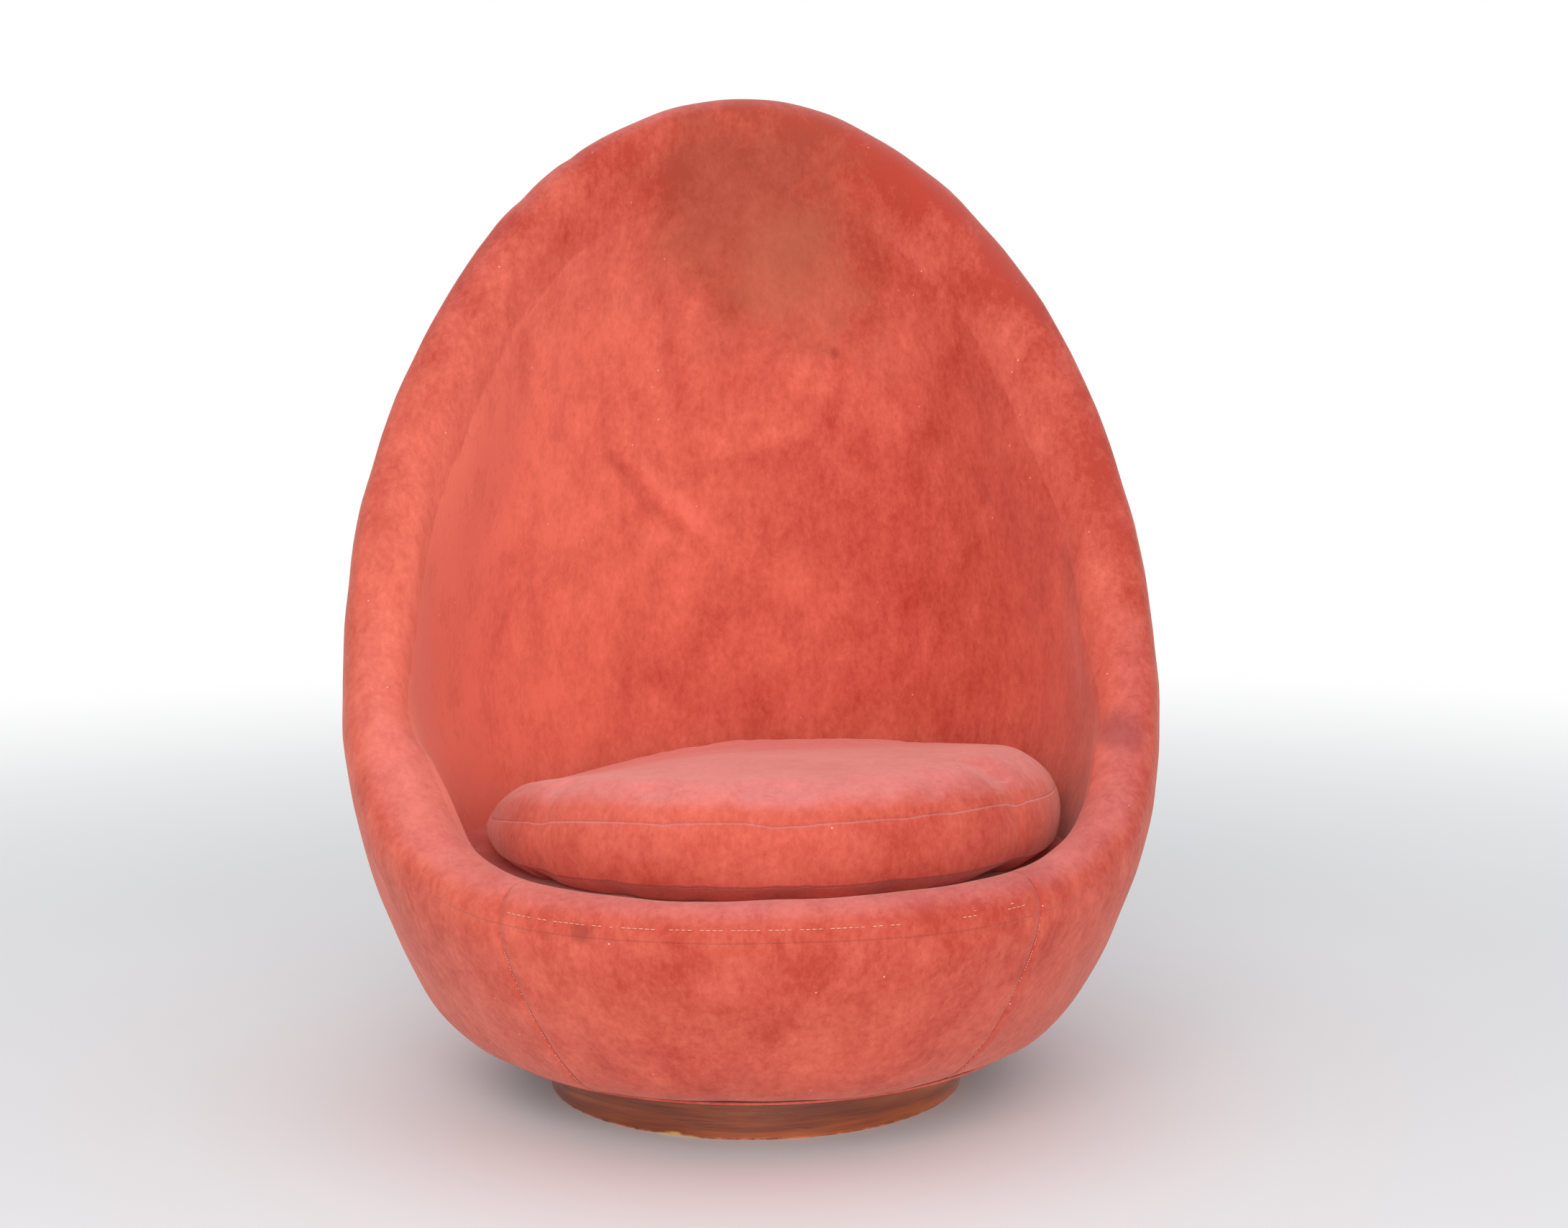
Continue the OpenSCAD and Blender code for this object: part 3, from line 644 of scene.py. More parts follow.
@dataclass(frozen=True)
class Velvet(Finish):
    """Cotton velvet with a crushed nap, and a painted pale sheen where it faces up.

    Its pieces store a seam value, which darkens it, and a value of painted light and shade, which is added to
    its tone.
    """

    deep: Colour = srgb(182, 66, 52)
    bright: Colour = srgb(238, 122, 100)
    sheen_and_dust_colour: Colour = srgb(236, 152, 154)
    lint: Colour = srgb(245, 205, 190)
    patch_scale: float = 5.0
    seam_shade: float = 0.35
    dust: float = 0.12
    lint_share: float = 0.7
    nap_depth: float = 0.0012
    pile_depth: float = 0.0007
    sheen: float = 0.38
    sheen_tint: Colour = (1.0, 0.62, 0.54)
    painted_top_sheen: float = 0.22
    cloud: float = 0.8
    streak: float = 0.5
    fleck: float = 1.0
    patches: tuple[Patch, ...] = ()

    def dress(self, g: Graph, sockets: Sockets, effects: Effects) -> None:
        """Mixes the nap's tones and the stored painted light and shade, paints a sheen on what faces up, lays
        the patches and stains on them and raises the pile.

        Args:
            g: the material's tree.
            sockets: the shader's inputs.
            effects: the effects that finishes share.
        """
        place = g.object_place()
        nap = effects.nap.place(g, Vector=place, Patch=self.patch_scale, Cloud=self.cloud, Streak=self.streak,
                                Fleck=self.fleck)
        # The stored value is painted light and shade, added to the nap's own tone.
        colour = g.mix(g.math("ADD", nap["Tone"], g.stored("nap"), clamp=True), self.deep, self.bright)
        uneven = g.spread(nap["Tone"], 0.2, 0.8, 0.75, 1.2)
        # Painted sheen: what faces up is mixed towards a pale pink, the shine that overhead light gives
        # velvet.
        upward = g.times(g.spread(g.facing_up(), 0.45, 1.0), self.painted_top_sheen)
        colour = g.mix(g.times(upward, uneven), colour, self.sheen_and_dust_colour)
        for patch in self.patches:
            mask = effects.soil.place(g, Vector=place, Centre=patch.centre, Reach=patch.reach,
                                      Blotch=patch.blotch)
            colour = g.mix(g.times(mask["Mask"], patch.strength), colour, patch.colour)
        colour = g.mix(g.times(g.stored("seam"), self.seam_shade), colour, self.deep)
        dust = effects.dust.place(g, Vector=place, Amount=self.dust)
        # Dust takes the same pale colour as the painted sheen.
        colour = g.mix(dust["Mask"], colour, self.sheen_and_dust_colour)
        colour = g.mix(g.times(dust["Lint"], self.lint_share), colour, self.lint)
        coarse = g.bump(nap["Tone"], self.nap_depth, 0.5)
        g.fill(sockets, {
            "Base Color": colour, "Roughness": g.spread(nap["Tone"], 0.0, 1.0, 0.96, 0.82),
            "Sheen Weight": self.sheen, "Sheen Roughness": 0.4, "Sheen Tint": self.sheen_tint,
            "Specular IOR Level": 0.12, "Normal": g.bump(nap["Pile"], self.pile_depth, 0.6, coarse)})


@dataclass(frozen=True)
class Wood(Finish):
    """Wood with growth lines and pores, bare or under a satin lacquer."""

    dark: Colour
    light: Colour
    lines: float = 60.0
    wave: float = 0.02
    gloss: float = 0.45
    coat: float = 0.0
    hoop_r: float = 0.0
    chipped: Colour = srgb(222, 168, 104)
    relief: float = 0.0003

    def dress(self, g: Graph, sockets: Sockets, effects: Effects) -> None:
        """Mixes the grain's tones, darkens the pores and wears the marked edges and the chip.

        On a hoop the coordinates are the arc, the height and the radius, so that the grain runs round.

        Args:
            g: the material's tree.
            sockets: the shader's inputs.
            effects: the effects that finishes share.
        """
        place = g.object_place()
        if self.hoop_r:
            x, y, height = g.parts(place)
            arc = g.times(g.math("ARCTAN2", x, g.times(y, -1.0)), self.hoop_r)
            place = g.joined(arc, height, g.length(g.stretched(place, (1.0, 1.0, 0.0))))
        grain = effects.grain.place(g, Vector=place, Lines=self.lines, Wave=self.wave)
        colour = g.mix(g.spread(grain["Tone"], 0.3, 0.7), self.dark, self.light)
        broad = g.noise(place, 7.0, 3.0, 0.5)
        colour = g.mix(g.spread(broad, 0.35, 0.75, 0.0, 0.45), colour, tuple(c * 0.6 for c in self.dark))
        colour = g.mix(g.times(grain["Pores"], 0.5), colour, tuple(c * 0.4 for c in self.dark))
        wear = g.times(g.stored("wear"), g.spread(g.noise(place, 60.0, 5.0, 0.7), 0.42, 0.6))
        worn = tuple(min(1.0, c * 1.9 + 0.1) for c in self.light)
        colour = g.mix(g.times(wear, 0.8), colour, worn)
        bare = g.stored("chip")
        rubbed = g.noise(place, 30.0, 4.0, 0.6)
        grooves = g.math("SUBTRACT", g.times(grain["Tone"], 0.4), grain["Pores"])
        g.fill(sockets, {
            "Base Color": g.mix(bare, colour, self.chipped),
            "Roughness": g.spread(rubbed, 0.2, 0.8, self.gloss - 0.08, self.gloss + 0.14),
            "Coat Weight": g.times(g.math("SUBTRACT", 1.0, bare), self.coat),
            "Coat Roughness": 0.22, "Normal": g.bump(grooves, self.relief, 0.5)})


@dataclass(frozen=True)
class Metal(Finish):
    """Plated or ground metal with fine scratches and a dull film in places."""

    colour: Colour
    film: Colour
    gloss: float = 0.35

    def dress(self, g: Graph, sockets: Sockets, effects: Effects) -> None:
        """Dulls the metal in patches and scratches it finely.

        Args:
            g: the material's tree.
            sockets: the shader's inputs.
            effects: the effects that finishes share; not used.
        """
        place = g.object_place()
        patches = g.spread(g.noise(place, 22.0, 5.0, 0.6), 0.4, 0.7)
        scratches = g.noise(g.stretched(place, (40.0, 900.0, 900.0)), 1.0, 2.0, 0.5)
        scratched = g.spread(scratches, 0.3, 0.7, self.gloss - 0.06, self.gloss + 0.06)
        g.fill(sockets, {
            "Base Color": g.mix(g.times(patches, 0.4), self.colour, self.film), "Metallic": 1.0,
            "Roughness": g.math("ADD", g.times(patches, 0.2), scratched),
            "Normal": g.bump(scratches, 0.00008, 0.4)})


@dataclass(frozen=True)
class Cloth(Finish):
    """Woven cloth with a thread's relief and faint soiling."""

    colour: Colour
    soiled: Colour
    threads: float = 1400.0
    relief: float = 0.0004

    def dress(self, g: Graph, sockets: Sockets, effects: Effects) -> None:
        """Shades the threads and soils the cloth.

        Args:
            g: the material's tree.
            sockets: the shader's inputs.
            effects: the effects that finishes share.
        """
        place = g.object_place()
        weave = effects.weave.place(g, Vector=place, Threads=self.threads)
        colour = g.mix(g.spread(weave["Tone"], 0.35, 0.7), self.colour, self.soiled)
        colour = g.mix(g.times(weave["Height"], 0.3), colour, tuple(c * 0.5 for c in self.colour))
        g.fill(sockets, {
            "Base Color": colour, "Roughness": g.spread(weave["Tone"], 0.2, 0.8, 0.78, 0.95),
            "Sheen Weight": 0.1, "Normal": g.bump(weave["Height"], self.relief, 0.6)})


@dataclass(frozen=True)
class Foam(Finish):
    """Upholstery foam with open cells, yellowed in places."""

    colour: Colour = srgb(236, 222, 178)
    yellowed: Colour = srgb(212, 178, 112)

    def dress(self, g: Graph, sockets: Sockets, effects: Effects) -> None:
        """Yellows the foam in clouds and pits it with cells.

        Args:
            g: the material's tree.
            sockets: the shader's inputs.
            effects: the effects that finishes share; not used.
        """
        place = g.object_place()
        cells = g.node("TexVoronoi", {"Vector": place, "Scale": 700.0}).outputs["Distance"]
        clouds = g.noise(place, 8.0, 5.0, 0.6)
        g.fill(sockets, {
            "Base Color": g.mix(g.spread(clouds, 0.35, 0.7), self.colour, self.yellowed),
            "Roughness": g.spread(clouds, 0.2, 0.8, 0.85, 0.97), "Normal": g.bump(cells, 0.0005, 0.6)})


@dataclass(frozen=True)
class Thread(Finish):
    """Twisted sewing thread."""

    colour: Colour = srgb(240, 176, 156)

    def dress(self, g: Graph, sockets: Sockets, effects: Effects) -> None:
        """Twists the thread's two plies and varies its tone.

        Args:
            g: the material's tree.
            sockets: the shader's inputs.
            effects: the effects that finishes share; not used.
        """
        place = g.object_place()
        twist = g.node("TexWave", {"Vector": place, "Scale": 700.0, "Distortion": 1.0},
                       bands_direction="DIAGONAL").outputs["Fac"]
        tone = g.noise(place, 60.0, 4.0, 0.6)
        shaded = tuple(c * 0.72 for c in self.colour)
        g.fill(sockets, {
            "Base Color": g.mix(g.spread(tone, 0.3, 0.7), self.colour, shaded),
            "Roughness": g.spread(tone, 0.2, 0.8, 0.6, 0.8), "Normal": g.bump(twist, 0.0001, 0.5)})


# The egg


@dataclass(frozen=True)
class EggForm:
    """The egg's padded wall, folded over at the rim."""

    rim_half_w: float = 0.383
    body_h: float = 1.055
    front_reach: float = 0.391
    rim_back_reach: float = 0.313
    front_crest_h: float = 0.266
    widest_h: float = 0.467
    rim_rise: float = 2.2
    foot_edge_r: float = 0.277
    foot_edge_h: float = 0.057
    bowl_slope: float = math.radians(12)
    back_swell: float = 0.102
    half_wall: float = 0.034
    pull_front: float = 0.205
    pull_back: float = 0.165
    rim_drop: float = 0.12
    rim_swell: float = 0.0024
    turn_end: float = 0.87
    slope_angles: Pair = (165.0, 92.0)
    slope_azimuths: Pair = (30.0, 66.0)
    slope_low_h: float = 0.345
    slope_drop: float = 0.26
    slope_leave: float = 0.3
    slope_leave_most: float = 0.055
    slope_meet: float = 0.4
    side_fill: float = 0.030
    fill_full_h: float = 0.60
    halvings: int = 18

    def middle(self, azimuth: Array, share: Array) -> Array:
        """Points of the wall's middle surface.

        A cubic curve rises at each azimuth from a circle at the foot to the rim's line. The rim's line is an
        oval in plan that climbs as a power of 1 - cos in front and as cos behind.

        Args:
            azimuth: degrees from the front.
            share: 0 at the foot, 1 at the rim.

        Returns:
            Points of the broadcast shape, and three.
        """
        azimuth, share = np.broadcast_arrays(azimuth, share)
        turn = np.radians(azimuth)[..., None]
        c, s, o = np.cos(turn), np.sin(turn), np.zeros_like(turn)
        top_h, front_h = self.body_h - self.half_wall, self.front_crest_h - self.half_wall
        back_h = self.widest_h - (top_h - self.widest_h) * c
        rise_h = front_h + (self.widest_h - front_h) * (1 - c) ** self.rim_rise
        back, front = (np.concatenate([self.rim_half_w * s, -(reach - self.half_wall) * c, height], -1)
                       for reach, height in ((self.rim_back_reach, back_h), (self.front_reach, rise_h)))
        top = np.where(c < 0, back, front)
        out = np.concatenate([s, -c, o], -1)
        up = np.array([0.0, 0.0, 1.0])
        foot_r = self.foot_edge_r - self.half_wall * math.sin(self.bowl_slope)
        foot_h = self.foot_edge_h + self.half_wall * math.cos(self.bowl_slope)
        foot = foot_r * out + foot_h * up
        lift = np.clip((top[..., 2:] - front_h) / (top_h - front_h), 0, 1)
        pull = self.pull_front + (self.pull_back - self.pull_front) * lift
        pull = pull * np.linalg.norm(top - foot, axis=-1, keepdims=True)
        lower = foot + pull * (math.cos(self.bowl_slope) * out + math.sin(self.bowl_slope) * up)
        upper = top + (self.rim_swell + self.back_swell * lift ** 1.3) * out
        upper = upper - self.rim_drop * (top[..., 2:] - foot_h) * up
        return cubic(share[..., None], foot, lower, upper, top)

    def directions(self, azimuth: Array, share: Array) -> tuple[Array, Array]:
        """The wall's outward and upward directions, which stop turning short of the rim.

        Args:
            azimuth: degrees from the front.
            share: 0 at the foot, 1 at the rim.

        Returns:
            The two unit directions, from small steps along the wall and round it.
        """
        t = np.minimum(share, self.turn_end)
        rise, turn = 0.001, 0.1
        along = unit(self.middle(azimuth, t + rise) - self.middle(azimuth, np.maximum(0, t - rise)))
        outward = unit(np.cross(self.middle(azimuth + turn, t) - self.middle(azimuth - turn, t), along))
        return outward, along

    def section(self, azimuth: Array, station: Array) -> tuple[Array, Array]:
        """The middle surface and the direction away from it along the folded section.

        Stations run 0 to 1 up the outside, 1 to 2 over the rim's half circle and 2 to 3 down the inside.

        Args:
            azimuth: degrees from the front.
            station: where on the folded section.

        Returns:
            Points and unit directions.
        """
        azimuth, station = np.broadcast_arrays(azimuth, station)
        share = np.where(station <= 1, station, np.where(station < 2, 1.0, 3 - station))
        turn = (math.pi * (np.clip(station, 1, 2) - 1))[..., None]
        outward, along = self.directions(azimuth, share)
        return self.middle(azimuth, share), np.cos(turn) * outward + np.sin(turn) * along

    def filled(self, azimuth: Array, station: Array) -> Array:
        """How much thicker the inside is at a station: most on its sides and high up."""
        height = self.middle(azimuth, np.clip(3 - station, 0, 1))[..., 2]
        sideways = np.sin(np.radians(azimuth)) ** 2
        return self.side_fill * sideways * eased(height, self.slope_low_h, self.fill_full_h)

    def slope_span(self, azimuth: Array) -> tuple[Array, Array]:
        """The stations at which the slope from the rim into the bucket starts and ends.

        Args:
            azimuth: degrees from the front.

        Returns:
            Both stations for each azimuth.
        """
        side = np.abs(signed(azimuth))
        first, last = self.slope_angles
        start = 1 + (first + (last - first) * eased(side, *self.slope_azimuths)) / 180
        rim_h = self.middle(azimuth, np.ones_like(azimuth))[..., 2]
        foot_h = np.maximum(np.minimum(rim_h, self.slope_low_h), rim_h - self.slope_drop)
        return start, np.maximum(2, self.inside_station(azimuth, self.half_wall, foot_h))

    def slope(self, azimuth: Array, share: Array) -> tuple[Array, Array]:
        """The slope from the rim into the bucket, a cubic curve that leaves the roll and meets the inside.

        Args:
            azimuth: degrees from the front, of shape (n,).
            share: 0 at the roll to 1 at the inside, of shape (m,).

        Returns:
            The face's points and the directions away from the wall, of shape (n, m, 3).
        """
        start, end = self.slope_span(azimuth)
        step = 0.002
        first = self.at(azimuth, start, self.half_wall)
        last = self.at(azimuth, end, self.half_wall + self.filled(azimuth, end))
        leave = unit(self.at(azimuth, start + step, self.half_wall) - first)
        meet = unit(self.at(azimuth, end + step, self.half_wall + self.filled(azimuth, end + step)) - last)
        length = np.linalg.norm(last - first, axis=-1, keepdims=True)
        b = first + np.minimum(self.slope_leave * length, self.slope_leave_most) * leave
        c = last - self.slope_meet * length * meet
        t = share[None, :, None]
        points = cubic(t, first[:, None], b[:, None], c[:, None], last[:, None])
        early = (1 - t) ** 3 + 3 * (1 - t) ** 2 * t
        from_start, from_end = self.section(azimuth, start)[1], self.section(azimuth, end)[1]
        return points, early * from_start[:, None] + (1 - early) * from_end[:, None]

    def at(self, azimuth: Array, station: Array, depth: float | Array) -> Array:
        """Points at a distance from the middle surface."""
        middle, away = self.section(azimuth, station)
        return middle + np.asarray(depth)[..., None] * away

    def inside_station(self, azimuth: Array, depth: float | Array, height: float | Array) -> Array:
        """The station at which the inside comes down to a height, closed in on by halves from both sides.

        Args:
            azimuth: degrees from the front.
            depth: the distance from the middle surface.
            height: the height looked for.

        Returns:
            A station for each azimuth.
        """
        low, high = np.full(azimuth.shape, 1.5), np.full(azimuth.shape, 2.999)
        for _ in range(self.halvings):
            half = (low + high) / 2
            above = self.at(azimuth, half, depth)[..., 2] > height
            low, high = np.where(above, half, low), np.where(above, high, half)
        return (low + high) / 2

    def inside_plan(self, azimuth: Array, depth: float | Array, height: float) -> Array:
        """Where the inside passes a height, in plan."""
        return self.at(azimuth, self.inside_station(azimuth, depth, height), depth)[..., :2]


@dataclass
class Wall:
    """The whole wall on one grid of azimuths by stations, softened over the rim, which pieces are cut from.

    Its relief, its seam value and its painted light and shade hold one number for each point of the grid.
    """

    form: EggForm
    seam_azimuth: float = 36.0
    seam_station: float = 1.1
    foot_h: float = 0.208
    softening: float = 0.009
    softened_reach: float = 0.032
    slope_softening: float = 1.4
    slope_reach: float = 1.2
    seam_band: float = 1.5
    azimuth: Array = field(init=False)
    station: Array = field(init=False)
    middle: Array = field(init=False)
    away: Array = field(init=False)
    skin: Array = field(init=False)
    out: Array = field(init=False)
    upward: Array = field(init=False)
    relief: Array = field(init=False)
    seam: Array = field(init=False)
    nap: Array = field(init=False)
    seam_column: int = field(init=False)

    def __post_init__(self) -> None:
        """Lays the grid, closest at the seams and the creases, up the outside, over the rim and down inside.

        The slope from the rim into the bucket takes the place of the fold's own face there.
        """
        form = self.form
        edge, band = self.seam_azimuth, self.seam_band
        self.azimuth = graded([-edge, band - edge, edge - band, edge, edge + band, 150.0, 222.0,
                               360.0 - band - edge, 360.0 - edge], [5, 34, 5, 5, 56, 96, 50, 5])[:-1]
        start, end = form.slope_span(self.azimuth)
        foot = np.maximum(form.inside_station(self.azimuth, form.half_wall, self.foot_h), end + 0.02)
        outer = graded([0.0, 0.8, 1.0, self.seam_station], [34, 16, 7])
        self.seam_column = len(outer) - 1
        roll = graded([0.0, 0.2, 1.0], [7, 16])[1:]
        first = self.seam_station + (start[:, None] - self.seam_station) * roll
        share = graded([0.0, 1.0], [54])[1:]
        lower = end[:, None] + (foot - end)[:, None] * graded([0.0, 0.6, 1.0], [58, 24])[1:]
        between = start[:, None] + (end - start)[:, None] * share
        outer = np.broadcast_to(outer, (len(self.azimuth), len(outer)))
        self.station = np.concatenate([outer, first, between, lower], 1)
        turn = self.azimuth[:, None]
        middle, away = form.section(turn, self.station)
        skin, out = middle + form.half_wall * away, away.copy()
        leave = outer.shape[1] + first.shape[1]
        columns = slice(leave, leave + len(share))
        skin[:, columns], out[:, columns] = form.slope(self.azimuth, share)
        below = slice(columns.stop, None)
        skin[:, below] += form.filled(turn, lower)[..., None] * away[:, below]
        steps = np.linalg.norm(np.diff(skin, axis=1, prepend=skin[:, :1]), axis=-1)
        self.upward = np.cumsum(steps, 1)
        rim, leaving = self.upward[:, self.rim_column(), None], self.upward[:, leave, None]
        wide, far = self.slope_softening * self.softening, self.slope_reach * self.softened_reach
        for values in (middle, away, skin, out):
            values[:] = self.softened(values, rim, self.softening, self.softened_reach)
            values[:] = self.softened(values, leaving, wide, far)
        self.middle, self.away, self.skin, self.out = middle, away, skin, out
        self.relief, self.seam, self.nap = np.zeros((3, *self.station.shape))

    def rim_column(self) -> int:
        """The column of the stations at which the rim's roll starts."""
        return int(np.argmin(np.abs(self.station[0] - 1)))

    def softened(self, values: Array, centre: Array, width: float, reach: float) -> Array:
        """Values averaged along the section near a place on it, by a bell of the length between.

        Args:
            values: one point or direction for each azimuth and station.
            centre: the place's length along each section.
            width: how wide the average is.
            reach: how far from the place it holds.

        Returns:
            The softened values.
        """
        length = self.upward
        weight = bell(length[:, :, None] - length[:, None, :], width * math.sqrt(2))
        weight = weight * np.gradient(length, axis=1)[:, None, :]
        smooth = (weight / weight.sum(2, keepdims=True)) @ values
        near = bell(length - centre, reach)[..., None]
        return near * smooth + (1 - near) * values

    def rows(self, front: bool) -> Array:
        """Indices of the azimuths of one side of the seams.

        Args:
            front: whether the front panel's or the rest of the egg's.

        Returns:
            The indices in order, both seams among them.
        """
        columns = np.arange(len(self.azimuth))
        inner = columns[self.azimuth <= self.seam_azimuth + 1e-6]
        return inner if front else np.concatenate([columns[len(inner) - 1:], [0]])

    def seam_distances(self) -> tuple[Array, Array]:
        """Lengths over the surface from the seams.

        Returns:
            The length from the blind seam that runs round behind the rim and under the lip, and the one from
            the nearer side seam, which stands at one metre where that seam has ended.
        """
        level = np.abs(self.upward - self.upward[:, self.seam_column, None])
        radius = np.linalg.norm(self.skin[..., :2], axis=-1)
        side = np.radians(np.abs(np.abs(signed(self.azimuth)) - self.seam_azimuth))[:, None] * radius
        return level, np.where(self.station < self.seam_station + 0.35, side, 1.0)

    def cut(self, rows: Array, first: int, last: int, depth: float, follow: bool = True) -> Array:
        """Points of a cut of the wall at a distance from its middle surface.

        Args:
            rows: the azimuths' indices.
            first: the first station's column.
            last: one past the last station's column.
            depth: the distance.
            follow: whether the cut has the face's form and relief, or the middle surface's form.

        Returns:
            Points of shape (rows, columns, 3).
        """
        if not follow:
            return self.middle[rows, first:last] + depth * self.away[rows, first:last]
        depths = depth - self.form.half_wall + self.relief[rows, first:last]
        return self.skin[rows, first:last] + depths[..., None] * self.out[rows, first:last]

    def shell(self, rows: Array, first: int, last: int, outer: float, inner: float,
              ring: bool = False, follow: bool = True) -> MeshData:
        """A closed piece of the wall between two distances from its middle surface.

        Args:
            rows: the azimuths' indices.
            first: the first station's column.
            last: one past the last station's column.
            outer: the far face's distance.
            inner: the near face's distance.
            ring: whether it closes round the egg.
            follow: whether the near face has the far face's form and relief too.

        Returns:
            The shell with its seam values and its painted light and shade.
        """
        values = {"seam": self.seam[rows, first:last], "nap": self.nap[rows, first:last]}
        near = self.cut(rows, first, last, inner, follow)
        return closed_shell(self.cut(rows, first, last, outer), near, ring, values)


def near_path(points: Array, path: tuple[Pair, ...], width: float) -> Array:
    """How near points lie to a bent line, seen from the front.

    It is a bell of the distance from the line's nearest leg, eased to nothing over the first and the last
    three tenths of the line.

    Args:
        points: points of any shape, and three.
        path: the line's corners, each x and z.
        width: the bell's width.

    Returns:
        Values from 0 to 1.
    """
    knots = np.array(path)
    points = points[..., ::2]
    spans = np.linalg.norm(np.diff(knots, axis=0), axis=1)
    start = np.concatenate([[0.0], np.cumsum(spans)])
    best = np.full(points.shape[:-1], np.inf)
    reached = np.zeros_like(best)
    for k, (a, b) in enumerate(zip(knots, knots[1:])):
        line = b - a
        share = np.clip(((points - a) @ line) / (line @ line), 0, 1)
        distance = np.linalg.norm(points - (a + share[..., None] * line), axis=-1)
        closer = distance < best
        best = np.where(closer, distance, best)
        reached = np.where(closer, start[k] + share * spans[k], reached)
    return bell(best, width) * eased(np.minimum(reached, start[-1] - reached), 0.0, 0.3 * start[-1])


# The chair's parts


@dataclass
class Plinth:
    """The round plinth's veneered hoop, chipped at its lower edge."""

    radius: float = 0.215
    height: float = 0.044
    wall: float = 0.018
    ease: float = 0.0016
    steps: int = 640
    rises: int = 16
    chip_azimuth: float = -25.0
    chip_span: float = 8.0
    chip_height: float = 0.0045
    chip_depth: float = 0.0011
    chip_slope: float = 0.0012
    wear_w: float = 0.0016

    def build(self, finish: Material) -> list[Piece]:
        """Turns the hoop's eased section and breaks the veneer away where the chip is.

        The chip lies under a ragged line whose height is the square root of the way in from its ends. The
        wear is a bell of the distance from the upper or the lower edge.

        Args:
            finish: the hoop's material.

        Returns:
            The hoop.
        """
        inner = self.radius - self.wall
        corners = [(self.radius, 0.0), (self.radius, self.height), (inner, self.height), (inner, 0.0)]
        base = eased_corners(corners, self.ease)
        rise = np.linspace(self.ease * 1.6, self.height - self.ease * 1.6, self.rises)
        outside = np.stack([np.full(self.rises, self.radius), rise], -1)
        base = np.concatenate([base[:5], outside, base[5:]])
        azimuth = np.linspace(0, 360, self.steps, endpoint=False)[:, None]
        profile = np.broadcast_to(base, (self.steps, *base.shape)).copy()
        steps = np.repeat(np.random.default_rng(7).uniform(0.45, 1.0, self.steps // 4), 4)
        ragged = np.convolve(steps, np.ones(3) / 3, "same")[:, None]
        span = np.clip(1 - np.abs(signed(azimuth - self.chip_azimuth)) / self.chip_span, 0, 1)
        edge = self.chip_height * np.sqrt(span) * ragged
        outer = profile[..., 0] > self.radius - 0.002
        chip = np.where(outer, np.clip((edge - profile[..., 1]) / self.chip_slope, 0, 1), 0.0)
        profile[..., 0] -= self.chip_depth * chip
        corner = np.minimum(np.abs(profile[..., 1]), np.abs(profile[..., 1] - self.height))
        data = turned(profile, self.steps)
        data.values = {"chip": chip, "wear": np.where(outer, bell(corner, self.wear_w), 0.0)}
        return [data.piece("plinth_hoop_veneered", Body.BASE, Slot.WALNUT, finish, ("plinth_hoop",))]


